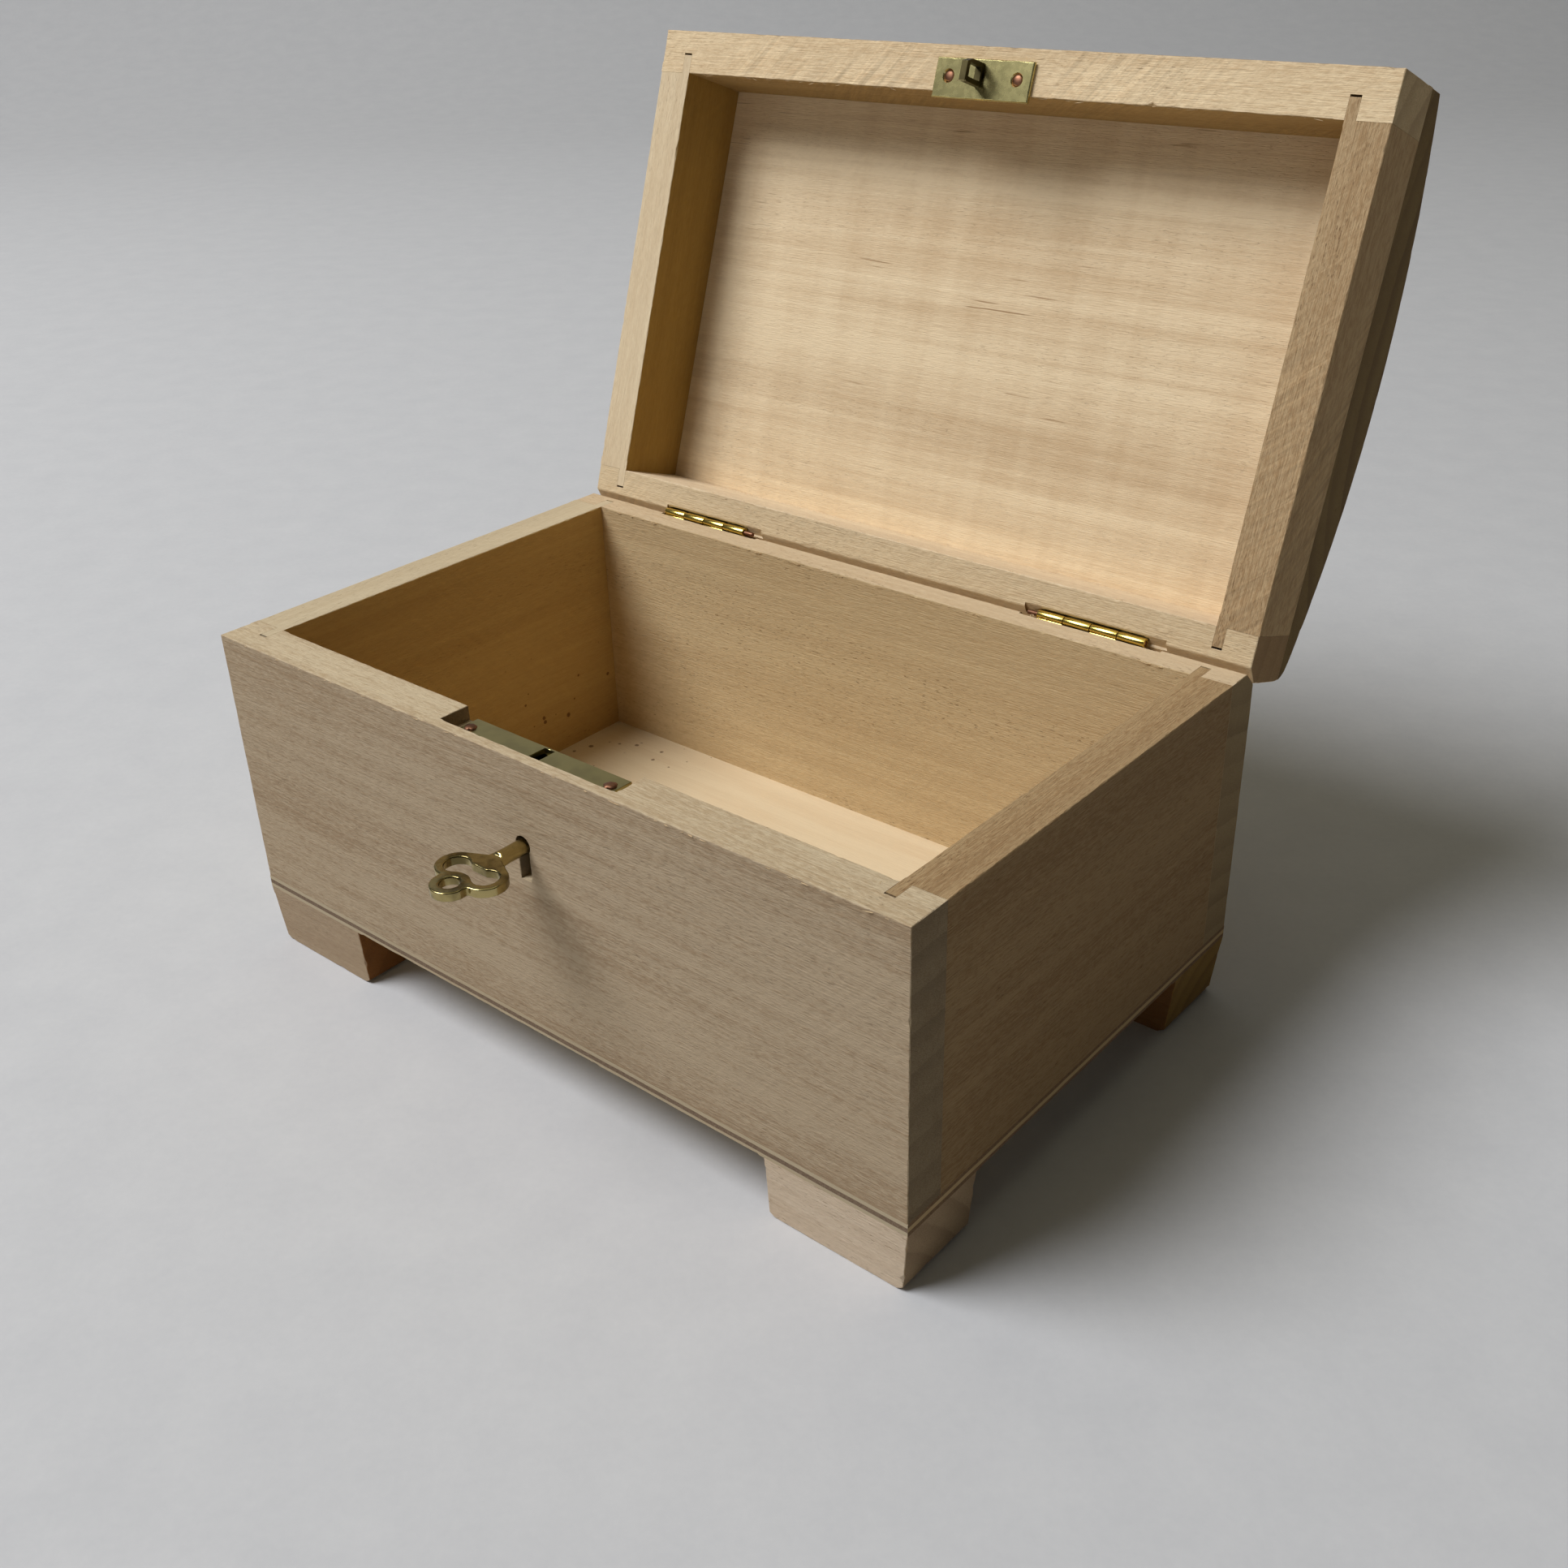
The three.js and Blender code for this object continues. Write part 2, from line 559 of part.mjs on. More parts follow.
// Everything under the arch and inside its rounded back edge.
function lidEnvelope() {
  const roundingEnd = BACK - BACK_ROUNDING;
  const rounding = new THREE.QuadraticBezierCurve(
    new THREE.Vector2(BACK, archHeight(BACK) - BACK_ROUNDING),
    new THREE.Vector2(BACK, archHeight(BACK)),
    new THREE.Vector2(roundingEnd, archHeight(roundingEnd)),
  );
  const arch = [[FRONT, LID_RIM], [BACK, LID_RIM], ...rounding.getPoints(6).map((p) => [p.x, p.y])];
  for (let step = 1; step <= ARCH_STEPS; step += 1) {
    const y = THREE.MathUtils.lerp(roundingEnd, FRONT, step / ARCH_STEPS);
    arch.push([y, archHeight(y)]);
  }
  return prism(outline(arch), 'x', [-HALF_WIDTH, HALF_WIDTH]);
}

function lidTopPanel() {
  const seam = LID_RIM + LID_SEAM;
  const slab = block([-HALF_WIDTH, HALF_WIDTH], [FRONT, BACK], [seam, LID_RIM + LID_CROWN + PAST]);
  const rebate = block(around(0, INSIDE_X + TONGUE + GLUE_LINE), around(0, INSIDE_Y + TONGUE + GLUE_LINE),
    [seam - PAST, LID_RIM + LID_CEILING + GLUE_LINE]);
  return slab.intersect(lidEnvelope()).subtract(rebate);
}

function strikeNailPlace(end) {
  return [STRIKE_X + end * STRIKE_NAIL_OFFSET, FRONT + STRIKE_NAIL_Y];
}

function strikePlate() {
  const face = LID_RIM - STRIKE_THICKNESS;
  let plate = block(around(STRIKE_X, STRIKE_HALF), behindFront(STRIKE_Y), [face, LID_RIM - GLUE_LINE]);
  plate = plate.subtract(hookTenon(LOCK_FIT));
  for (const end of [-1, 1]) {
    const { wide, narrow } = STRIKE_SINK;
    const sink = turned([
      [0, -2], [narrow, -2], [narrow, -STRIKE_THICKNESS], [wide, 0], [wide, PAST], [0, PAST],
    ]);
    const [x, y] = strikeNailPlace(end);
    plate = plate.subtract(sink.rotate([180, 0, 0]).translate([x, y, face]));
  }
  return plate;
}

function hookTenon(play) {
  const y = [HOOK_Y[0] + TENON_SHOULDER - play, HOOK_Y[1] - TENON_SHOULDER + play];
  const face = LID_RIM - STRIKE_THICKNESS;
  const z = [face - PAST, LID_RIM - 2 * GLUE_LINE + play];
  return block(around(LOCK_X, HOOK_THICKNESS / 2 + play), behindFront(y), z);
}

function strikeHook() {
  const [near, far] = behindFront(HOOK_Y);
  const face = LID_RIM - STRIKE_THICKNESS - GLUE_LINE;
  const tip = LID_RIM - HOOK_REACH;
  const xSpan = around(LOCK_X, HOOK_THICKNESS / 2);
  const shape = outline([
    [near, face], [near + 0.2, tip + 2], [near + 1.1, tip], [far, tip], [far, face],
  ]);
  const window = block([LOCK_X - PAST, LOCK_X + PAST], behindFront(HOOK_WINDOW_Y),
    [LID_RIM - HOOK_WINDOW_Z[1], LID_RIM - HOOK_WINDOW_Z[0]]);
  return prism(shape, 'x', xSpan).add(hookTenon(0)).subtract(window);
}

function strikeNail(end) {
  const [x, y] = strikeNailPlace(end);
  const seat = LID_RIM - STRIKE_THICKNESS + LOCK_FIT;
  return nail(STRIKE_NAIL, true).rotate([180, 0, 0]).translate([x, y, seat]);
}

// ---------------------------------------------------------------- assembly

function caseGroup() {
  const group = new THREE.Group();
  const bottom = block([-HALF_WIDTH, HALF_WIDTH], [FRONT, BACK], [FOOT_HEIGHT, WALL_BOTTOM]);
  group.add(
    piece('front_board', frontBoard(), limewood),
    piece('back_board', backBoard(), limewood),
    piece('left_side_board', sideBoard(-1, WALL_BOTTOM, RIM), limewood),
    piece('right_side_board', sideBoard(1, WALL_BOTTOM, RIM), limewood),
    piece('bottom_plate', bottom, plywood),
    piece('foot_front_left', foot(-1, -1), limewood),
    piece('foot_front_right', foot(1, -1), limewood),
    piece('foot_back_left', foot(-1, 1), limewood),
    piece('foot_back_right', foot(1, 1), limewood),
    piece('lock_case', lockCase(), brass),
    piece('lock_cover', lockCover(), brass),
    piece('lock_cover_rivet_left', coverRivet(-1), brass),
    piece('lock_cover_rivet_right', coverRivet(1), brass),
    piece('lock_key_post', keyPost(), steel),
    piece('lock_bolt_spring', boltSpring(), steel),
    piece('lock_nail_left', lockNail(-1), copper),
    piece('lock_nail_right', lockNail(1), copper),
    piece('lock_bolt', lockBolt(), brass),
    piece('key', key(), keyBrass),
  );
  for (const [side, start] of Object.entries(HINGE_STARTS)) {
    group.add(piece(`hinge_${side}_case_leaf`, hingeLeaf(start, false), brass));
    group.add(piece(`hinge_${side}_pin`, hingePin(side), copper));
  }
  return group;
}

function lidGroup() {
  const shut = new THREE.Group();
  shut.position.set(0, -HINGE_Y, -HINGE_Z);
  shut.add(
    piece('lid_front_board', lidCrossBoard(-1), limewood),
    piece('lid_back_board', lidCrossBoard(1), limewood),
    piece('lid_left_board', lidSideBoard(-1), limewood),
    piece('lid_right_board', lidSideBoard(1), limewood),
    piece('lid_top_panel', lidTopPanel(), limewood),
    piece('strike_plate', strikePlate(), brass),
    piece('strike_hook', strikeHook(), brass),
    piece('strike_nail_left', strikeNail(-1), copper),
    piece('strike_nail_right', strikeNail(1), copper),
  );
  for (const [side, start] of Object.entries(HINGE_STARTS)) {
    shut.add(piece(`hinge_${side}_lid_leaf`, hingeLeaf(start, true), brass));
  }
  const turning = new THREE.Group();
  turning.position.set(0, HINGE_Y, HINGE_Z);
  turning.rotation.x = -LID_OPEN;
  turning.add(shut);
  return turning;
}

// The whole box is moved along Y so that the middle of its bounding box stands over the origin.
function moneyBox() {
  const box = new THREE.Group();
  box.add(caseGroup(), lidGroup());
  box.position.y = -MIDDLE_Y;
  return box;
}

export default moneyBox();
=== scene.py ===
import json
import math
import random

import bmesh
import bpy
from mathutils import Matrix, Vector, noise
from mathutils.bvhtree import BVHTree


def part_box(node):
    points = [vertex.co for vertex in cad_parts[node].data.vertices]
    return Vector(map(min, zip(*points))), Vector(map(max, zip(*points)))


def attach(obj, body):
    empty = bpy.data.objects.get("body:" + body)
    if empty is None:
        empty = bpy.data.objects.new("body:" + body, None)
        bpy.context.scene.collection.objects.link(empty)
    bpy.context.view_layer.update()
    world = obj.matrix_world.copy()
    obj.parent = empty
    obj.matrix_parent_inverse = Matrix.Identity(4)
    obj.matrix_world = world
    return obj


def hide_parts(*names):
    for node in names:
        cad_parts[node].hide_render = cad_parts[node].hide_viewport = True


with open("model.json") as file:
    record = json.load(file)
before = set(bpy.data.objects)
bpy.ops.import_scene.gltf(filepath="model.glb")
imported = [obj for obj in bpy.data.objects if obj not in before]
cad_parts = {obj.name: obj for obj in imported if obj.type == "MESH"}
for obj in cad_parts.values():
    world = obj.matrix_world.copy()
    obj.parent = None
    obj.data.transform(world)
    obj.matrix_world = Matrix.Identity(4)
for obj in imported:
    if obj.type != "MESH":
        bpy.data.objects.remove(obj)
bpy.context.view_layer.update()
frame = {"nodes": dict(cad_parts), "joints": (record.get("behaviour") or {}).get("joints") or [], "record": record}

MM = 0.001
NODES = frame["nodes"]
RECORD = frame["record"]
LID_JOINT = next(j for j in frame["joints"] if j["name"] == "lid_hinge")
HINGE = Vector(LID_JOINT["pos_m"])
LID_ANGLE = math.radians(LID_JOINT["range_deg"][1])
SCENE = bpy.context.scene


# ------------------------------------------------------------------ camera

SENSOR_WIDTH = 36
LENS = 38.48
CAMERA_PLACE = (0.24757, -0.28239, 0.25417)
CAMERA_FORWARD = (-0.57045, 0.66232, -0.48571)
CAMERA_RIGHT = (0.76683, 0.64132, -0.02611)


def link(obj):
    SCENE.collection.objects.link(obj)
    return obj


def add_camera():
    data = bpy.data.cameras.new("camera")
    data.sensor_width = SENSOR_WIDTH
    data.lens = LENS
    data.clip_start = 0.01
    data.clip_end = 50
    cam = link(bpy.data.objects.new("camera", data))
    forward = Vector(CAMERA_FORWARD).normalized()
    right = Vector(CAMERA_RIGHT).normalized()
    up = right.cross(forward).normalized()
    right = forward.cross(up)
    turn = Matrix((right, up, -forward)).transposed()
    cam.matrix_world = Matrix.Translation(CAMERA_PLACE) @ turn.to_4x4()
    SCENE.camera = cam


# ------------------------------------------------------------------ node graphs

class Graph:
    """A material's node tree, with short calls for the nodes that the finishes use."""

    def __init__(self, name):
        self.material = bpy.data.materials.new(name)
        self.material.use_nodes = True
        self.tree = self.material.node_tree
        self.tree.nodes.clear()
        self.out = self.tree.nodes.new("ShaderNodeOutputMaterial")

    def put(self, socket, value):
        if isinstance(value, bpy.types.NodeSocket):
            self.tree.links.new(value, socket)
        elif isinstance(value, (tuple, list)) and len(value) == 3 and socket.type == "RGBA":
            socket.default_value = (*value, 1)
        else:
            socket.default_value = value

    def node(self, kind, inputs=None, out=0, **props):
        made = self.tree.nodes.new(kind)
        for key, value in props.items():
            setattr(made, key, value)
        for key, value in (inputs or {}).items():
            self.put(made.inputs[key], value)
        return made.outputs[out]

    def math(self, op, a, b=0.0, c=None):
        ins = {0: a, 1: b}
        if c is not None:
            ins[2] = c
        return self.node("ShaderNodeMath", ins, operation=op)

    def vec(self, op, a, b=None, scale=None, out=0):
        ins = {0: a}
        if b is not None:
            ins[1] = b
        if scale is not None:
            ins["Scale"] = scale
        return self.node("ShaderNodeVectorMath", ins, out, operation=op)

    def step(self, value, low, high, to_low=0.0, to_high=1.0):
        return self.node("ShaderNodeMapRange", {
            "Value": value, "From Min": low, "From Max": high, "To Min": to_low, "To Max": to_high,
        }, interpolation_type="SMOOTHSTEP")

    def noise(self, at, scale, detail=3.0, rough=0.55, stretch=None):
        if stretch is not None:
            at = self.vec("MULTIPLY", at, stretch)
        return self.node("ShaderNodeTexNoise", {
            "Vector": at, "Scale": scale, "Detail": detail, "Roughness": rough,
        })

    def mix(self, factor, a, b, blend="MIX"):
        made = self.tree.nodes.new("ShaderNodeMix")
        made.data_type = "RGBA"
        made.blend_type = blend
        self.put(made.inputs[0], factor)
        self.put(made.inputs[6], a)
        self.put(made.inputs[7], b)
        return made.outputs[2]

    def split(self, vector):
        """The three parts of a vector."""
        made = self.tree.nodes.new("ShaderNodeSeparateXYZ")
        self.put(made.inputs[0], vector)
        return made.outputs

    def grey(self, value):
        return self.node("ShaderNodeCombineColor", {0: value, 1: value, 2: value})

    def bump(self, height, distance, strength):
        return self.node("ShaderNodeBump", {"Height": height, "Distance": distance, "Strength": strength})

    def shade(self, color, rough, normal=None, metallic=0.0, specular=0.35):
        bsdf = self.tree.nodes.new("ShaderNodeBsdfPrincipled")
        self.put(bsdf.inputs["Base Color"], color)
        self.put(bsdf.inputs["Roughness"], rough)
        bsdf.inputs["Metallic"].default_value = metallic
        bsdf.inputs["Specular IOR Level"].default_value = specular
        if normal is not None:
            self.put(bsdf.inputs["Normal"], normal)
        self.tree.links.new(bsdf.outputs[0], self.out.inputs[0])
        return self.material


def part_space(g, on_lid):
    """Position in millimetres and normal, for the lid turned back to where it lies shut."""
    tex = g.tree.nodes.new("ShaderNodeTexCoord")
    at, normal = tex.outputs["Object"], tex.outputs["Normal"]
    if on_lid:
        spin = {"Axis": (1, 0, 0), "Angle": LID_ANGLE}
        at = g.node("ShaderNodeVectorRotate", {"Vector": at, "Center": HINGE, **spin})
        normal = g.node("ShaderNodeVectorRotate", {"Vector": normal, "Center": (0, 0, 0), **spin})
    return g.vec("SCALE", at, scale=1 / MM), normal


# ------------------------------------------------------------------ wood

PALE = (0.765, 0.595, 0.365)
TAN = (0.59, 0.42, 0.235)
LATE = (0.44, 0.305, 0.17)
FLECK = (0.30, 0.17, 0.075)
STAIN = (0.16, 0.075, 0.03)
END_GRAIN = (0.34, 0.265, 0.17)
SANDING_SLANT = math.radians(-50)

# the axes along the fibres, across the board and through it
ORDER = {"X": (0, 1, 2), "Y": (1, 0, 2)}


def weighed(g, start, *terms):
    """start plus each term's weight times how far its noise is from the middle."""
    total = start
    for weight, value in terms:
        total = g.math("ADD", total, g.math("MULTIPLY", g.math("SUBTRACT", value, 0.5), weight))
    return total


def speckled(g, color, at, ragged, facing, spot, reach):
    """Brown specks round a spot, thinning out over reach, on the faces that facing picks."""
    cell = g.tree.nodes.new("ShaderNodeTexVoronoi")
    cell.inputs["Scale"].default_value = 0.34
    g.put(cell.inputs["Vector"], at)
    pick = g.node("ShaderNodeTexWhiteNoise", {"Vector": cell.outputs["Position"]}, noise_dimensions="3D")
    near = g.vec("DISTANCE", at, spot, out=1)
    size = g.math("MULTIPLY", g.step(near, reach, 0.0, 0.0, 0.30), g.step(pick, 0.35, 0.9))
    away = g.math("MULTIPLY_ADD", ragged, 0.20, cell.outputs["Distance"])
    mark = g.step(g.math("SUBTRACT", away, size), 0.11, 0.02)
    return g.mix(g.math("MULTIPLY", g.math("MULTIPLY", mark, facing), 0.8), color, STAIN)


def wood(name, grain="X", pith=(0.0, -60.0), ring=8.0, seed=0.0, on_lid=False, rings=0.10, bands=1.0,
         tint=(1, 1, 1), flecks=0.3, dashes=0.0, chatter=0.0, sanding=0.2, crisp=0.8, crumbs=None,
         faces=()):
    """Pale hardwood. grain is the way the fibres run, pith the heart of the tree in millimetres
    across and through the board, ring the growth in one year. crumbs is a spot with brown specks
    round it and their reach, in millimetres. faces has a direction and a colour for each
    face that turns that way, multiplied into its colour as painted light and shade."""
    g = Graph(name)
    at, normal = part_space(g, on_lid)
    place, facing = g.split(at), g.split(normal)
    along, across, depth = (place[k] for k in ORDER[grain])
    face_along, face_across, face_depth = (facing[k] for k in ORDER[grain])
    q = g.node("ShaderNodeCombineXYZ", {0: along, 1: across, 2: depth})
    q = g.vec("ADD", q, (seed * 137.0, seed * 61.0, seed * 29.0))
    end = g.step(g.math("ABSOLUTE", face_along), 0.75, 0.95)

    # growth rings round the pith, wandering slowly along the board
    wander = g.noise(q, 1.0, 2.0, stretch=(0.006, 0.014, 0.014))
    dx = g.math("SUBTRACT", across, pith[0])
    dz = g.math("SUBTRACT", depth, pith[1])
    radius = g.vec("LENGTH", g.node("ShaderNodeCombineXYZ", {0: dx, 1: dz, 2: 0.0}), out=1)
    radius = g.math("MULTIPLY_ADD", wander, ring * 1.2, radius)
    radius = g.math("MULTIPLY_ADD", g.noise(q, 1.0, 2.0, stretch=(0.05, 0.35, 0.35)), 1.1, radius)
    turn = g.math("DIVIDE", radius, ring)
    year = g.math("FLOOR", turn)
    within_year = g.math("FRACT", turn)
    strength = g.node("ShaderNodeTexWhiteNoise", {"W": year}, noise_dimensions="1D")
    late = g.math("MULTIPLY", g.step(within_year, 0.25, 0.93), g.step(within_year, 1.0, 0.94))
    late = g.math("MULTIPLY", late, g.math("MULTIPLY_ADD", strength, 0.7, 0.35))

    wide = g.noise(q, 1.0, 2.0, stretch=(0.004, 0.10, 0.10))
    strand = g.noise(q, 1.0, 3.0, 0.6, stretch=(0.012, 0.55, 0.55))
    fibre = g.noise(q, 1.0, 3.0, 0.7, stretch=(0.16, 3.4, 3.4))
    speckle = g.noise(q, 1.0, 3.0, 0.65, stretch=(0.45, 1.5, 1.5))
    cloud = g.noise(q, 1.0, 2.0, stretch=(0.012, 0.03, 0.03))
    # crisp sets the contrast of the fine fibres and specks: the wood's own grain, made stronger as painted shade
    # of the raised fibres
    tone = weighed(g, 0.34, (1.1 * bands, wide), (0.8 * bands, strand), (0.9 * crisp, fibre),
                   (1.3 * crisp, speckle), (0.6, cloud))
    if chatter:
        waves = g.noise(q, 1.0, 2.0, stretch=(0.16, 0.012, 0.012))
        tone = weighed(g, tone, (chatter, waves))
    color = g.mix(g.math("MAXIMUM", tone, 0.0), PALE, TAN)
    color = g.mix(g.math("MULTIPLY", late, g.math("MULTIPLY_ADD", end, 0.75, rings)), color, LATE)
    dots = g.noise(q, 1.0, 2.0, 0.5, stretch=(0.5, 3.2, 3.2))
    fleck = g.step(dots, 0.64, 0.72)
    fleck = g.math("MULTIPLY", fleck, g.step(g.noise(q, 1.0, 1.0, stretch=(0.01, 0.06, 0.06)), 0.40, 0.62))
    color = g.mix(g.math("MULTIPLY", fleck, flecks), color, FLECK)
    if dashes:
        thin = g.noise(q, 1.0, 1.0, 0.5, stretch=(0.045, 1.1, 1.1))
        rare = g.noise(q, 1.0, 1.0, 0.5, stretch=(0.03, 0.09, 0.09))
        dash = g.math("MULTIPLY", g.step(thin, 0.68, 0.76), g.step(rare, 0.52, 0.62))
        color = g.mix(g.math("MULTIPLY", dash, dashes), color, FLECK)
    pores = g.step(g.noise(q, 1.0, 2.0, 0.6, stretch=(0.3, 6.0, 6.0)), 0.35, 0.75)
    color = g.mix(g.math("MULTIPLY", end, g.math("MULTIPLY_ADD", pores, 0.30, 0.40)), color, END_GRAIN)
    if crumbs:
        color = speckled(g, color, at, speckle, g.step(facing[0], 0.6, 0.8), *crumbs)
    color = g.mix(1.0, color, tint, "MULTIPLY")
    # painted light and shade: the sides that look each way get their colour multiplied
    for way, painted_face_shading in faces:
        match = g.step(g.vec("DOT_PRODUCT", normal, way, out=1), 0.6, 0.8)
        color = g.mix(match, color, painted_face_shading, "MULTIPLY")

    # sanding scratches run across the fibres at a slant, in patches
    face = g.node("ShaderNodeCombineXYZ", {0: face_along, 1: face_across, 2: face_depth})
    slant = g.node("ShaderNodeVectorRotate", {"Vector": q, "Angle": SANDING_SLANT, "Axis": face})
    scratch = g.noise(slant, 1.0, 3.0, 0.6, stretch=(0.04, 0.9, 0.9))
    patch = g.step(g.noise(q, 1.0, 1.0, stretch=(0.02, 0.05, 0.05)), 0.42, 0.66)
    depth_of_marks = g.math("MULTIPLY_ADD", patch, 0.7 * sanding, 0.03)
    lit = g.math("MULTIPLY_ADD", g.math("SUBTRACT", scratch, 0.5), depth_of_marks, 1.0)
    color = g.mix(1.0, color, g.grey(lit), "MULTIPLY")
    height = g.math("MULTIPLY_ADD", scratch, 0.45 * sanding, fibre)
    height = g.math("MULTIPLY_ADD", speckle, 0.5, height)
    height = g.math("MULTIPLY_ADD", fleck, -0.5, height)
    rough = g.step(fibre, 0.3, 0.7, 0.76, 0.9)
    return g.shade(color, rough, g.bump(height, 0.00022 + 0.0001 * crisp, 0.75), specular=0.25)


VENEER = (0.785, 0.63, 0.40)
VENEER_DARK = (0.69, 0.51, 0.295)
GLUE = (0.14, 0.08, 0.04)


def plywood(name, low, thickness):
    """Three plies: the outer two run along X, the core along Y. Both faces are pale."""
    g = Graph(name)
    at, normal = part_space(g, False)
    facing = g.split(normal)
    ripple = g.noise(at, 1.0, 2.0, stretch=(0.09, 0.09, 0.0))
    height = g.math("MULTIPLY_ADD", ripple, 0.3, g.split(at)[2])
    height = g.math("DIVIDE", g.math("SUBTRACT", height, low + 0.15), thickness)
    ragged = g.noise(at, 1.0, 2.0, 0.6, stretch=(2.0, 4.5, 4.5))
    core = g.math("MULTIPLY", g.step(height, 0.30, 0.34), g.step(height, 0.70, 0.66))
    short_edge = g.step(g.math("ABSOLUTE", facing[0]), 0.4, 0.6)
    level = g.step(g.math("ABSOLUTE", facing[2]), 0.6, 0.8)
    # end grain shows in the core on the long edges and in the outer plies on the short ones
    end = g.math("ABSOLUTE", g.math("SUBTRACT", core, short_edge))
    end = g.math("MULTIPLY", end, g.math("SUBTRACT", 1.0, level))
    along = g.noise(at, 1.0, 4.0, 0.7, stretch=(0.12, 3.0, 5.0))
    cross = g.noise(at, 1.0, 4.0, 0.7, stretch=(5.0, 0.12, 5.0))
    fibre = g.math("MULTIPLY_ADD", g.math("SUBTRACT", cross, along), core, along)
    strand = g.noise(at, 1.0, 3.0, 0.6, stretch=(0.015, 0.16, 0.16))
    color = g.mix(g.math("MULTIPLY", g.step(strand, 0.4, 0.68), 0.4), VENEER, VENEER_DARK)
    color = g.mix(g.math("MULTIPLY", g.step(fibre, 0.45, 0.75), 0.22), color, TAN)
    speck = g.noise(at, 3.5, 3.0, 0.7)
    brown = g.mix(g.step(speck, 0.35, 0.65), (0.20, 0.115, 0.065), (0.36, 0.24, 0.15))
    color = g.mix(g.math("MULTIPLY", end, 0.92), color, brown)
    line = g.step(g.math("ABSOLUTE", g.math("SUBTRACT", height, 0.32)), 0.035, 0.0)
    line = g.math("MULTIPLY", g.math("MULTIPLY", line, 0.6), g.math("SUBTRACT", 1.0, level))
    color = g.mix(line, color, GLUE)
    # painted shade: the edges are darker than the faces, and the short edges darker and warmer still
    edge = g.math("MULTIPLY_ADD", level, 0.36, 0.64)
    color = g.mix(1.0, color, g.grey(edge), "MULTIPLY")
    color = g.mix(short_edge, color, (0.92, 0.80, 0.60), "MULTIPLY")
    color = speckled(g, color, at, ragged, g.step(facing[2], 0.6, 0.8), (-84, 24, 19.7), 50)
    return g.shade(color, g.step(fibre, 0.3, 0.7, 0.76, 0.9), g.bump(fibre, 0.00014, 0.6), specular=0.3)


# ------------------------------------------------------------------ pieces from CAD bodies

# Solids are cut and joined in millimetres, and go back to metres when they become pieces.

def welded_copy(node):
    bm = bmesh.new()
    bm.from_mesh(NODES[node].data)
    bm.transform(Matrix.Scale(1 / MM, 4))
    bmesh.ops.remove_doubles(bm, verts=bm.verts, dist=1e-3)
    return bm


def clean_copy(node):
    bm = welded_copy(node)
    bmesh.ops.dissolve_limit(bm, angle_limit=math.radians(0.3), verts=bm.verts, edges=bm.edges)
    return bm


def mesh_piece(name, mesh, body, material, replaced=(), smooth=30):
    """A finished piece from a mesh in millimetres. Edges that turn by more than smooth degrees stay crisp."""
    mesh.transform(Matrix.Scale(MM, 4))
    for poly in mesh.polygons:
        poly.use_smooth = True
    mesh.set_sharp_from_angle(angle=math.radians(smooth))
    mesh.materials.clear()
    mesh.materials.append(material)
    obj = link(bpy.data.objects.new(name, mesh))
    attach(obj, body)
    if replaced:
        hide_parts(*replaced)
    return obj


def carve(mesh, cutters, operation="DIFFERENCE"):
    """mesh with each cutter mesh taken away in turn."""
    held = link(bpy.data.objects.new("held", mesh))
    tools = []
    for cutter in cutters:
        tool = link(bpy.data.objects.new("tool", cutter))
        mod = held.modifiers.new("cut", "BOOLEAN")
        mod.operation = operation
        mod.solver = "EXACT"
        mod.object = tool
        tools.append(tool)
    depsgraph = bpy.context.evaluated_depsgraph_get()
    done = bpy.data.meshes.new_from_object(held.evaluated_get(depsgraph))
    for obj in [held, *tools]:
        bpy.data.objects.remove(obj)
    return done


def tree_of(bm):
    work = bm.copy()
    bmesh.ops.triangulate(work, faces=work.faces)
    tree = BVHTree.FromBMesh(work)
    work.free()
    return tree


TREES = {}


def board_tree(node):
    if node not in TREES:
        bm = clean_copy(node)
        TREES[node] = tree_of(bm)
        bm.free()
    return TREES[node]


RAY = Vector((0.301, 0.207, 0.931))
MOST_HITS = 40
GLUE_REACH = 0.13


def within(tree, point):
    """True if point is inside the closed body of tree: a ray from it goes through an odd number of skins."""
    start, hits = point.copy(), 0
    while hits < MOST_HITS:
        spot = tree.ray_cast(start, RAY)[0]
        if spot is None:
            break
        hits += 1
        start = spot + RAY * 1e-3
    return hits % 2 == 1


def glued(point, trees):
    """True if point lies within GLUE_REACH millimetres of a neighbour."""
    return any(tree.find_nearest(point, GLUE_REACH)[0] is not None for tree in trees)


def edge_chains(bm):
    """Sharp outward edges, joined end to end where they run on: lists of (point, normal, normal)."""
    sharp = {}
    for edge in bm.edges:
        if len(edge.link_faces) == 2 and edge.is_convex and edge.calc_face_angle(0) > math.radians(20):
            sharp[edge] = True
    chains = []
    while sharp:
        edge = next(iter(sharp))
        del sharp[edge]
        n1, n2 = (f.normal.copy() for f in edge.link_faces)
        path = [(edge.verts[0], n1, n2), (edge.verts[1], n1, n2)]
        for end in (1, 0):
            while True:
                tip, m1, m2 = path[-1] if end else path[0]
                before = path[-2][0] if end else path[1][0]
                way = (tip.co - before.co).normalized()
                found = None
                for other in tip.link_edges:
                    if other not in sharp:
                        continue
                    onward = other.other_vert(tip)
                    if (onward.co - tip.co).normalized().dot(way) < 0.98:
                        continue
                    f1, f2 = (f.normal.copy() for f in other.link_faces)
                    if f1.dot(m1) + f2.dot(m2) < f1.dot(m2) + f2.dot(m1):
                        f1, f2 = f2, f1
                    if f1.dot(m1) > 0.97 and f2.dot(m2) > 0.97:
                        found = (other, (onward, f1, f2))
                        break
                if found is None:
                    break
                del sharp[found[0]]
                path.insert(len(path) if end else 0, found[1])
        chains.append([(v.co.copy(), a, b) for v, a, b in path])
    return chains


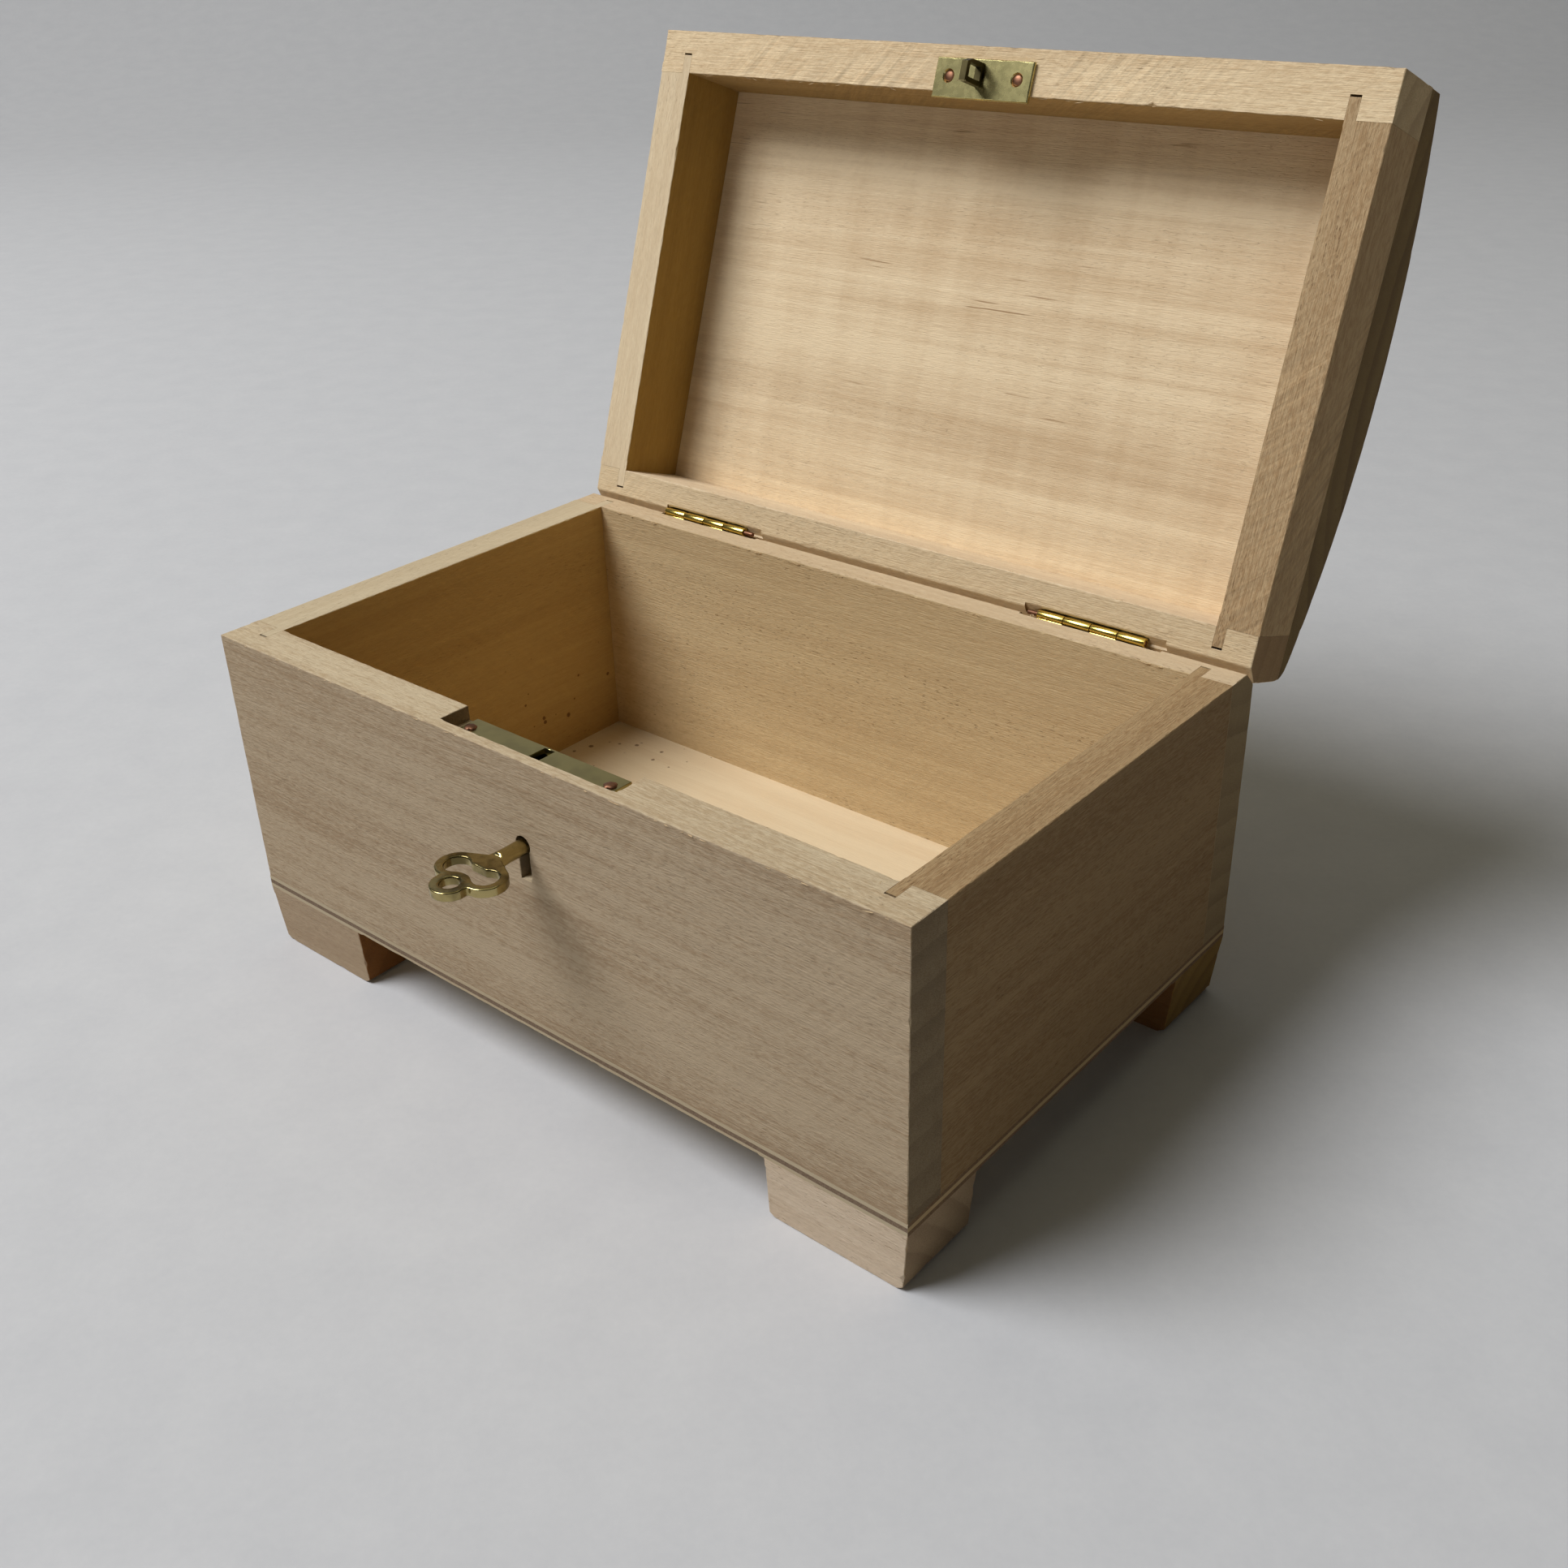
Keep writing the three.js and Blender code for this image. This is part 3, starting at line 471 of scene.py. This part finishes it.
def stations(chain, pitch):
    """Evenly spaced (point, normal, normal) along a chain."""
    out = []
    for (p, a1, a2), (q, b1, b2) in zip(chain, chain[1:]):
        steps = max(1, round((q - p).length / pitch))
        for k in range(steps):
            t = k / steps
            out.append((p.lerp(q, t), a1.lerp(b1, t).normalized(), a2.lerp(b2, t).normalized()))
    out.append(chain[-1])
    return out


def shaver(run, width, chips, seed):
    """A closed strip that rounds an edge over, more in some places than in others."""
    rings = []
    for p, n1, n2, *fade in run:
        q = p
        wave = noise.noise(q * 0.21 + Vector((seed, 0, 0))) + 0.6 * noise.noise(q * 0.8)
        chip = max(0.0, noise.noise(q * 0.37 + Vector((0, seed * 7.1, 0))) - 0.40) * chips
        reach = width * (1 + 0.55 * wave) + chip
        t1 = -(n2 - n1 * n1.dot(n2)).normalized()
        t2 = -(n1 - n2 * n1.dot(n2)).normalized()
        lean = 1 + 0.3 * noise.noise(q * 0.5 + Vector((0, 0, seed)))
        r1, r2 = reach * lean, reach / lean
        if fade:
            p = p + (n1 + n2).normalized() * reach * 1.2
        # from just over one face, under the edge, to just over the other, and back round outside
        rings.append([
            p + t1 * 1.35 * r1 + n1 * 0.25 * r1, p + t1 * 0.55 * r1 + t2 * 0.12 * r2,
            p + t1 * 0.12 * r1 + t2 * 0.55 * r2, p + t2 * 1.35 * r2 + n2 * 0.25 * r2,
            p + (n1 + n2).normalized() * 2.5 * reach,
        ])
    bm = bmesh.new()
    loops = [[bm.verts.new(v) for v in ring] for ring in rings]
    count = len(loops[0])
    for low, high in zip(loops, loops[1:]):
        for k in range(count):
            j = (k + 1) % count
            bm.faces.new((low[k], low[j], high[j], high[k]))
    bm.faces.new(loops[0])
    bm.faces.new(list(reversed(loops[-1])))
    bmesh.ops.triangulate(bm, faces=bm.faces)
    bmesh.ops.recalc_face_normals(bm, faces=bm.faces)
    mesh = bpy.data.meshes.new("shaver")
    bm.to_mesh(mesh)
    bm.free()
    return mesh


EDGE_PITCH = 1.3


def worn_board(node, body, neighbours, material, width=0.28, chips=2.2, seed=1.0,
               least=5.0, suffix="_wood"):
    """A CAD board or sheet with its free edges rounded over and slightly chipped. Edges that are glued
    to neighbours, and edges no longer than least, stay sharp."""
    bm = clean_copy(node)
    own = tree_of(bm)
    trees = [board_tree(n) for n in neighbours]
    cutters = []
    solid = welded_copy(node)
    for chain in edge_chains(bm):
        points = stations(chain, EDGE_PITCH)
        run = []
        for k, (p, n1, n2) in enumerate(points):
            inner = p.lerp(points[min(k + 1, len(points) - 1)][0], 0.3)
            if not glued(inner, trees):
                run.append((p, n1, n2))
                if k < len(points) - 1:
                    continue
            if len(run) > 1 and (run[-1][0] - run[0][0]).length > least:
                # a run ends short of wood that it meets, and goes on past a free corner
                for end in (0, -1):
                    tip, m1, m2 = run[end]
                    way = (tip - run[1 if end == 0 else -2][0]).normalized()
                    if within(own, tip + way * 0.3 - (m1 + m2) * 0.1):
                        run[end] = (tip - way * 0.07, m1, m2, True)
                    else:
                        run.insert(0 if end == 0 else len(run), (tip + way * 0.4, m1, m2))
                cutters.append(shaver(run, width, chips, seed))
            run = []
    mesh = bpy.data.meshes.new(node + "_wood")
    solid.to_mesh(mesh)
    solid.free()
    bm.free()
    mesh = carve(mesh, cutters)
    return mesh_piece(node + suffix, mesh, body, material, [node], smooth=3)


CASE_BOARDS = ["front_board", "back_board", "left_side_board", "right_side_board", "bottom_plate",
               "foot_front_left", "foot_front_right", "foot_back_left", "foot_back_right"]
LID_BOARDS = ["lid_front_board", "lid_back_board", "lid_left_board", "lid_right_board", "lid_top_panel"]
FRONT, BACK, RIGHT, TOP = (0, -1, 0), (0, 1, 0), (1, 0, 0), (0, 0, 1)


def add_boards():
    # tint is each board's own colour together with painted light and shade: darker and browner on the boards that
    # stand in shade, such as the right side, the lid's right board and the back right foot, and lighter than the
    # wood on the lid's top panel, front and left boards. faces adds painted light and shade on the sides that look
    # one way.
    finishes = {
        "front_board": wood(
            "front_wood", "X", (-74, -190), 8.4, 1.3, rings=0.12, sanding=0.28, flecks=0.25, crisp=2.3,
            bands=2.1, tint=(0.88, 0.90, 0.92),
            faces=[(FRONT, (0.745, 0.71, 0.715)), (RIGHT, (0.58, 0.53, 0.45))]),
        "back_board": wood(
            "back_wood", "X", (60, 220), 7.6, 2.1, rings=0.12, flecks=0.8, crisp=1.0,
            tint=(0.94, 0.93, 0.94), faces=[(FRONT, (1.0, 0.98, 0.86)), (RIGHT, (0.58, 0.53, 0.40))]),
        "left_side_board": wood(
            "left_wood", "Y", (-40, 10), 6.0, 3.7, rings=0.10, flecks=0.5, crisp=0.6,
            crumbs=((-92, 18, 24), 62), tint=(0.86, 0.90, 0.93), faces=[(RIGHT, (0.86, 0.69, 0.37))]),
        "right_side_board": wood(
            "right_wood", "Y", (160, 160), 6.1, 4.2, rings=0.18, flecks=0.7, bands=2.1, crisp=2.8,
            tint=(0.60, 0.52, 0.42), faces=[(RIGHT, (0.72, 0.68, 0.60))]),
        "bottom_plate": plywood("floor_plywood", 16.5, 3.2),
        "foot_front_left": wood(
            "foot_wood_1", "X", (-20, -40), 6.4, 6.1, tint=(0.61, 0.58, 0.595),
            faces=[(RIGHT, (0.67, 0.35, 0.11))]),
        "foot_front_right": wood(
            "foot_wood_2", "X", (-110, -30), 6.0, 7.1, flecks=0.6, tint=(0.97, 1.0, 1.16),
            faces=[(RIGHT, (0.74, 0.645, 0.50))]),
        "foot_back_left": wood("foot_wood_3", "X", (90, -20), 6.0, 8.1, tint=(0.8, 0.76, 0.7)),
        "foot_back_right": wood(
            "foot_wood_4", "X", (60, -25), 6.2, 9.1, tint=(0.50, 0.37, 0.13),
            faces=[(FRONT, (0.75, 0.60, 0.9))]),
        "lid_front_board": wood(
            "lid_front_wood", "X", (-20, 190), 7.8, 10.3, True, sanding=1.3, crisp=1.6,
            tint=(1.15, 1.15, 1.14),
            faces=[(BACK, (0.49, 0.42, 0.27)), (FRONT, (0.62, 0.595, 0.61)), (RIGHT, (0.93, 0.88, 0.76))]),
        "lid_back_board": wood(
            "lid_back_wood", "X", (30, 20), 6.8, 11.3, True, sanding=0.6, crisp=1.4,
            tint=(1.02, 1.02, 1.0), faces=[(FRONT, (1.18, 1.23, 1.38)), (RIGHT, (0.66, 0.525, 0.38))]),
        "lid_left_board": wood(
            "lid_left_wood", "Y", (-60, 140), 5.7, 12.3, True, tint=(1.08, 1.12, 1.17),
            faces=[(RIGHT, (0.49, 0.375, 0.14))]),
        "lid_right_board": wood(
            "lid_right_wood", "Y", (60, 30), 5.9, 13.3, True, flecks=0.7, sanding=1.1, crisp=2.8,
            tint=(0.71, 0.635, 0.55), faces=[(RIGHT, (0.95, 0.92, 0.84))]),
        "lid_top_panel": wood(
            "lid_top_wood", "X", (-30, 230), 7.6, 14.3, True, rings=0.16, bands=1.6, chatter=0.9, dashes=0.8,
            flecks=0.0, sanding=0.08, crisp=0.5, tint=(1.17, 1.19, 1.22),
            faces=[(RIGHT, (0.335, 0.27, 0.145)), (TOP, (0.70, 0.68, 0.69))]),
    }
    for index, node in enumerate(CASE_BOARDS + LID_BOARDS):
        group = CASE_BOARDS if node in CASE_BOARDS else LID_BOARDS
        body = "case" if group is CASE_BOARDS else "lid"
        neighbours = [n for n in group if n != node]
        worn_board(node, body, neighbours, finishes[node], seed=index * 3.7 + 1)


# ------------------------------------------------------------------ metal

def metal(name, color, rough, tarnish, spots=0.3, barrel=None):
    """barrel is how far from the hinge line, in millimetres, the metal stays bright and smooth; beyond it, on the
    leaves that sit in their recess, it is darkened as painted shade and made rougher.
    """
    g = Graph(name)
    at, _ = part_space(g, False)
    cloud = g.noise(at, 0.16, 3.0, 0.5)
    fine = g.noise(at, 0.7, 2.0, 0.5)
    tone = g.mix(g.math("MULTIPLY", g.step(cloud, 0.42, 0.68), spots), color, tarnish)
    tone = g.mix(g.math("MULTIPLY", g.step(fine, 0.6, 0.75), spots * 0.15), tone, tarnish)
    rubbed = g.step(fine, 0.3, 0.7, rough * 0.95, rough * 1.05)
    if barrel:
        flat = g.vec("MULTIPLY", g.vec("SUBTRACT", at, HINGE / MM), (0.0, 1.0, 1.0))
        # painted shade: beyond the barrel the leaves are darkened as if in the shade of their recess
        dull_and_shaded = g.step(g.vec("LENGTH", flat, out=1), barrel, barrel + 0.1)
        tone = g.mix(dull_and_shaded, tone, (0.05, 0.035, 0.012))
        rubbed = g.math("MAXIMUM", rubbed, g.math("MULTIPLY", dull_and_shaded, 0.6))
    return g.shade(tone, rubbed, g.bump(fine, 0.000006, 0.3), metallic=1.0, specular=0.5)


def mesh_from(bm, name):
    bmesh.ops.recalc_face_normals(bm, faces=bm.faces)
    mesh = bpy.data.meshes.new(name)
    bm.to_mesh(mesh)
    bm.free()
    return mesh


def spun(profile, at, axis, sides, wobble=0.0, seed=0.0):
    """A turned solid: profile is (radius, distance along axis), from end to end, in millimetres."""
    bm = bmesh.new()
    lean = Vector((0, 0, 1)).rotation_difference(Vector(axis))
    rings = []
    for radius, height in profile:
        if radius < 1e-6:
            rings.append([bm.verts.new(at + lean @ Vector((0, 0, height)))])
            continue
        ring = []
        for k in range(sides):
            turn = 2 * math.pi * k / sides
            spot = Vector((math.cos(turn) * radius, math.sin(turn) * radius, height))
            if wobble:
                spot += spot.normalized() * wobble * noise.noise(spot * 1.4 + Vector((seed, 0, 0)))
            ring.append(bm.verts.new(at + lean @ spot))
        rings.append(ring)
    for low, high in zip(rings, rings[1:]):
        for k in range(sides):
            j = (k + 1) % sides
            corners = [low[k % len(low)], low[j % len(low)], high[j % len(high)], high[k % len(high)]]
            corners = list(dict.fromkeys(corners))
            if len(corners) > 2:
                bm.faces.new(corners)
    return bm


def box_mm(node):
    low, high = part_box(node)
    return low / MM, high / MM


def hammered_nail(node, body, tilt, head, rise, wobble, material, seed):
    """Shank and domed head. tilt turns the head's way from +Z about X, in degrees."""
    way = Matrix.Rotation(math.radians(tilt), 3, "X") @ Vector((0, 0, 1))
    spots = [v.co / MM for v in NODES[node].data.vertices]
    heights = [p.dot(way) for p in spots]
    length = max(heights) - min(heights)
    crown = [p for p, h in zip(spots, heights) if h > max(heights) - 0.05]
    top = sum(crown, Vector()) / len(crown)
    profile = [(0, -length), (0.32, 1.2 - length), (0.65, 2.4 - length), (0.65, -rise), (head * 0.93, -rise)]
    profile += [(head * math.cos(a), rise * (math.sin(a) - 1)) for a in
                (math.radians(d) for d in range(6, 84, 9))]
    profile.append((0, 0.0))
    mesh = mesh_from(spun(profile, top, way, 36, wobble, seed), node + "_hammered")
    return mesh_piece(node + "_hammered", mesh, body, material, [node], smooth=50)


def hinge_leaf(node, body, way, start, knuckles, material):
    """A leaf with knuckles rolled from sheet. way is the direction of the leaf from the axis."""
    axis = HINGE / MM
    out = Vector((0, way[0], way[1])).normalized()
    up = Vector((1, 0, 0)).cross(out)
    radius, bore, half, reach = 1.2, 0.69, 0.4, 8.0
    length, pitch, ease = 7.2, 7.4, 0.09

    def plate(u0, u1, v0, v1, x0, x1):
        bm = bmesh.new()
        corners = [(x, u, v) for x in (x0, x1) for u in (u0, u1) for v in (v0, v1)]
        for x, u, v in corners:
            bm.verts.new(Vector((x, axis.y, axis.z)) + out * u + up * v)
        bmesh.ops.convex_hull(bm, input=bm.verts)
        bmesh.ops.dissolve_limit(bm, angle_limit=0.02, verts=bm.verts, edges=bm.edges)
        bmesh.ops.bevel(bm, geom=bm.edges[:], offset=ease, segments=2, profile=0.6, affect="EDGES")
        return mesh_from(bm, "plate")

    end = start + 4 * length + 0.6
    parts = []
    for index in knuckles:
        x0 = start + index * pitch
        profile = [(bore, 0), (radius - ease, 0), (radius - ease * 0.3, ease * 0.3), (radius, ease),
                   (radius, length - ease), (radius - ease * 0.3, length - ease * 0.3),
                   (radius - ease, length), (bore, length), (bore, 0)]
        bm = spun(profile, Vector((x0, axis.y, axis.z)), (1, 0, 0), 48)
        bmesh.ops.remove_doubles(bm, verts=bm.verts, dist=1e-4)
        parts.append(mesh_from(bm, "knuckle"))
        parts.append(plate(0.95, 2.2, -half, half, x0 + 0.02, x0 + length - 0.02))
    mesh = carve(plate(1.5, reach, -half * 0.98, half * 0.98, start, end), parts, "UNION")
    return mesh_piece(node + "_rolled", mesh, body, material, [node], smooth=28)


def pin(node, material):
    low, high = box_mm(node)
    length = high.x - low.x
    profile = [(0, 0), (0.36, 0.02), (0.54, 0.14), (0.6, 0.32), (0.6, length - 0.32), (0.54, length - 0.14),
               (0.36, length - 0.02), (0, length)]
    at = Vector((low.x, HINGE.y / MM, HINGE.z / MM))
    mesh = mesh_from(spun(profile, at, (1, 0, 0), 32), node + "_wire")
    mesh_piece(node + "_wire", mesh, "case", material, [node], smooth=40)


# in millimetres
KEY_VOXEL = 0.24
KEY_UNEVEN = 0.03
KEY_SWELL = 0.02


def cast_key(material):
    """The key, with the soft edges and slightly uneven faces of a casting."""
    bm = welded_copy("key")
    mesh = bpy.data.meshes.new("key_cast")
    bm.to_mesh(mesh)
    bm.free()
    held = link(bpy.data.objects.new("held", mesh))
    remesh = held.modifiers.new("cast", "REMESH")
    remesh.mode = "VOXEL"
    remesh.voxel_size = KEY_VOXEL
    smooth = held.modifiers.new("soft", "SMOOTH")
    smooth.factor = 0.5
    smooth.iterations = 3
    depsgraph = bpy.context.evaluated_depsgraph_get()
    done = bpy.data.meshes.new_from_object(held.evaluated_get(depsgraph))
    bpy.data.objects.remove(held)
    for vert in done.vertices:
        bump = noise.noise(vert.co * 0.9) * KEY_UNEVEN
        vert.co += vert.normal * (bump + KEY_SWELL)
    # the casting stays inside the CAD key's box
    low, high = box_mm("key")
    for vert in done.vertices:
        vert.co = Vector(min(max(c, a), b) for c, a, b in zip(vert.co, low, high))
    mesh_piece("key_cast", done, "key", material, ["key"], smooth=180)


def add_metal():
    brass = metal("brass_plate", (0.45, 0.38, 0.155), 0.30, (0.31, 0.26, 0.11), 0.5)
    # the strike plate's brass is the lock's brass made lighter, as painted light
    lit_brass = metal("brass_plate_lit", (0.62, 0.54, 0.235), 0.27, (0.42, 0.37, 0.16), 0.5)
    bright = metal("brass_polished", (0.80, 0.60, 0.15), 0.20, (0.5, 0.35, 0.08), 0.15, barrel=1.24)
    aged = metal("brass_aged", (0.46, 0.37, 0.16), 0.20, (0.12, 0.09, 0.035), 0.9)
    # the hook's brass is painted nearly black: painted shade and painted reflection of dark surroundings
    hook_shade = metal("brass_hook_shade", (0.13, 0.105, 0.045), 0.38, (0.05, 0.04, 0.018), 0.6)
    copper = metal("coppered", (0.29, 0.14, 0.08), 0.47, (0.12, 0.055, 0.03), 0.9)
    steel = metal("spring_steel", (0.30, 0.29, 0.28), 0.45, (0.15, 0.13, 0.12))
    worn_board("lock_case", "case", [], brass, 0.14, 0.25, 3.1, 2.9, suffix="_sheet")
    worn_board("strike_plate", "lid", [], lit_brass, 0.34, 0.2, 4.1, 2.9, suffix="_sheet")
    worn_board("strike_hook", "lid", [], hook_shade, 0.09, 0.05, 5.1, 1.5, suffix="_sheet")
    for side, offset in (("left", 0.0), ("right", 5.0)):
        hammered_nail(f"lock_nail_{side}", "case", 0, 1.45, 0.72, 0.34, copper, offset + 0.7)
        hammered_nail(f"strike_nail_{side}", "lid", 180 - math.degrees(LID_ANGLE), 1.3, 0.42, 0.10, copper,
                      offset + 2.2)
        pin(f"hinge_{side}_pin", copper)
        start = box_mm(f"hinge_{side}_case_leaf")[0].x
        hinge_leaf(f"hinge_{side}_case_leaf", "case", (-1, -1), start, (0, 2), bright)
        angle = math.radians(135) - LID_ANGLE
        hinge_leaf(f"hinge_{side}_lid_leaf", "lid", (math.cos(angle), math.sin(angle)), start, (1, 3), bright)
    cast_key(aged)
    for name, obj in NODES.items():
        if obj.hide_render:
            continue
        slot = next(s["material_slot"] for s in RECORD["subparts"] if s["node"] == name)
        pick = {"brass": brass, "key_brass": aged, "copper": copper, "steel": steel}[slot]
        obj.data.materials.clear()
        obj.data.materials.append(pick)


# ------------------------------------------------------------------ splinters and curls

def flake(bm, root, along, lift, length, width):
    """A sliver of wood, wide at its root and pointed at its tip."""
    side = along.cross(lift).normalized() * width
    thick = lift.normalized() * 0.04
    tip = root + along * length + lift * length * 0.35
    middle = root + along * length * 0.5 + lift * length * 0.05
    verts = [bm.verts.new(p) for p in (
        root - side - thick, root + side - thick, root + side + thick, root - side + thick,
        middle - side * 0.6 - thick, middle + side * 0.6 - thick, middle + side * 0.6 + thick,
        middle - side * 0.6 + thick, tip)]
    bm.faces.new((verts[3], verts[2], verts[1], verts[0]))
    for k in range(4):
        j = (k + 1) % 4
        bm.faces.new((verts[k], verts[j], verts[j + 4], verts[k + 4]))
        bm.faces.new((verts[k + 4], verts[j + 4], verts[8]))


def curl(bm, start, way, lift, radius, turns, width):
    """A narrow shaving that stands on its end and rolls over."""
    side = way.cross(lift).normalized() * width
    steps = max(6, round(turns * 18))
    rings = []
    for k in range(steps + 1):
        angle = 2 * math.pi * turns * k / steps
        reach = radius * (1 - 0.35 * k / steps)
        spot = start + way * math.sin(angle) * reach + lift * (radius - math.cos(angle) * reach)
        out = (lift * math.cos(angle) - way * math.sin(angle)) * 0.045
        fine = side * (1 - 0.6 * k / steps)
        rings.append([bm.verts.new(spot + d) for d in (-fine - out, fine - out, fine + out, -fine + out)])
    for low, high in zip(rings, rings[1:]):
        for k in range(4):
            j = (k + 1) % 4
            bm.faces.new((low[k], low[j], high[j], high[k]))
    bm.faces.new(list(reversed(rings[0])))
    bm.faces.new(rings[-1])


# for each body, the place, turns and radius of each curl, then the curls' height, way, roll and width
CURLS = {
    "case": ([(92.2, -75.9, 0.6, 0.6), (50.6, 43.2, 0.5, 0.8), (48.0, 43.6, 0.7, 0.5),
              (52.4, 43.6, 0.4, 0.7)],
             89.45, (-1, 0.2, 0), (0.2, 1, 0), 0.14),
    "lid": ([(96.6, -77.0, 0.8, 0.7), (97.2, -76.2, 0.6, 0.5)],
            89.85, (1, 0.3, 0), (-0.3, 1, 0), 0.12),
}


def add_splinters():
    """Torn fibres along the sawn rims, in millimetres, for the lid as it lies shut."""
    pick = random.Random(11)
    fibre = wood("torn_fibre", "X", tint=(1.05, 1.03, 0.98))
    to_hinge = Matrix.Translation(HINGE / MM)
    open_up = to_hinge @ Matrix.Rotation(-LID_ANGLE, 4, "X") @ to_hinge.inverted()
    # for each body, the way its fibres stand off the rim, then each row's board, ends and number
    rows = [
        ("case", 1, [("back_board", (-90, 36.8, 89.3), (88, 36.8, 89.3), 44),
                     ("front_board", (-88, -72.5, 89.3), (-24, -72.5, 89.3), 12),
                     ("front_board", (30, -72.5, 89.3), (90, -72.5, 89.3), 14),
                     ("front_board", (-102, -84.3, 89.3), (102, -84.3, 89.3), 40)]),
        ("lid", -1, [("lid_front_board", (-92, -72.6, 90.0), (92, -72.6, 90.0), 50),
                     ("lid_back_board", (-92, 36.6, 90.0), (92, 36.6, 90.0), 24)]),
    ]
    for body, up, lines in rows:
        bm = bmesh.new()
        lift = Vector((0, 0, up))
        place = Matrix.Identity(4) if body == "case" else open_up
        for node, start, end, count in lines:
            a, b = Vector(start), Vector(end)
            for _ in range(count):
                root = a.lerp(b, pick.random())
                root = place.inverted() @ board_tree(node).find_nearest(place @ root)[0]
                along = Vector((pick.choice((-1, 1)), pick.uniform(-0.35, 0.35), 0)).normalized()
                flake(bm, root - lift * 0.22, along, lift * pick.uniform(0.05, 0.35),
                      pick.uniform(0.7, 2.6), pick.uniform(0.06, 0.17))
        curls, height, way, roll, width = CURLS[body]
        for x, y, turns, radius in curls:
            curl(bm, Vector((x, y, height)), Vector(way), Vector(roll), radius, turns, width)
        if body == "lid":
            bm.transform(open_up)
        mesh = mesh_from(bm, f"{body}_splinters")
        mesh_piece(f"{body}_splinters", mesh, body, fibre, smooth=40)


# ------------------------------------------------------------------ stage

# the paper, in metres: its flat middle, the rim's height, and the bend and turn of the whole
PAPER_X, PAPER_Y = (-4.5, 4.5), (-3.0, 1.5)
PAPER_TOP = 4.5
PAPER_BEND = 1.3
PAPER_STEPS = 16
PAPER_TURN = math.radians(41)


def dish(low, high):
    """(place, height) from rim to rim: flat from low to high, and bent up beyond them."""
    turns = (math.radians(90 * k / PAPER_STEPS) for k in range(PAPER_STEPS + 1))
    bend = [(PAPER_BEND * math.sin(t), PAPER_BEND * (1 - math.cos(t))) for t in turns]
    left = [(low - PAPER_BEND, PAPER_TOP)] + [(low - y, z) for y, z in reversed(bend)]
    return left + [(high + y, z) for y, z in bend] + [(high + PAPER_BEND, PAPER_TOP)]


def add_stage():
    g = Graph("paper")
    tex = g.tree.nodes.new("ShaderNodeTexCoord")
    soft = g.noise(tex.outputs["Object"], 60.0, 3.0)
    grit = g.noise(tex.outputs["Object"], 420.0, 4.0, 0.7)
    blend = weighed(g, 0.5, (1.6, soft), (1.3, grit))
    tone = g.mix(blend, (0.588, 0.583, 0.571), (0.632, 0.625, 0.607))
    paper = g.shade(tone, 0.9, specular=0.2)
    bm = bmesh.new()
    rows = [[bm.verts.new((x, y, rise + lift)) for x, lift in dish(*PAPER_X)] for y, rise in dish(*PAPER_Y)]
    for low, high in zip(rows, rows[1:]):
        for k in range(len(low) - 1):
            bm.faces.new((low[k], low[k + 1], high[k + 1], high[k]))
    mesh = bpy.data.meshes.new("paper_sweep")
    bm.to_mesh(mesh)
    bm.free()
    for poly in mesh.polygons:
        poly.use_smooth = True
    mesh.materials.append(paper)
    sweep = link(bpy.data.objects.new("paper_sweep", mesh))
    sweep.rotation_euler = (0, 0, PAPER_TURN)


LIT_SPOT = Vector((0, 0, 0.08))


def area_light(name, direction, distance, size, power, color):
    """A round lamp, distance metres from the lit spot in that direction, that faces it."""
    data = bpy.data.lights.new(name, "AREA")
    data.shape = "DISK"
    data.size = size
    data.energy = power
    data.color = color
    lamp = link(bpy.data.objects.new(name, data))
    toward = Vector(direction).normalized()
    lamp.location = LIT_SPOT + toward * distance
    lamp.rotation_mode = "QUATERNION"
    lamp.rotation_quaternion = toward.to_track_quat("Z", "Y")
    lamp.visible_camera = False


def from_bearing(turn, rise):
    """Unit vector toward a light: turn in degrees from -Y toward -X, rise above the floor."""
    a, e = math.radians(turn), math.radians(rise)
    return (-math.sin(a) * math.cos(e), -math.cos(a) * math.cos(e), math.sin(e))


def add_lights():
    world = bpy.data.worlds.new("room")
    world.use_nodes = True
    back = world.node_tree.nodes["Background"]
    back.inputs[0].default_value = (1.0, 0.90, 0.62, 1)
    back.inputs[1].default_value = 0.022
    SCENE.world = world
    area_light("window", from_bearing(42, 54), 3.0, 1.8, 88, (0.965, 0.99, 1.07))
    area_light("skylight", (-0.12, 0.10, 1.0), 2.6, 2.4, 7.8, (1.0, 0.96, 0.72))
    SCENE.view_settings.view_transform = "Standard"


add_camera()
add_boards()
add_metal()
add_splinters()
add_stage()
add_lights()
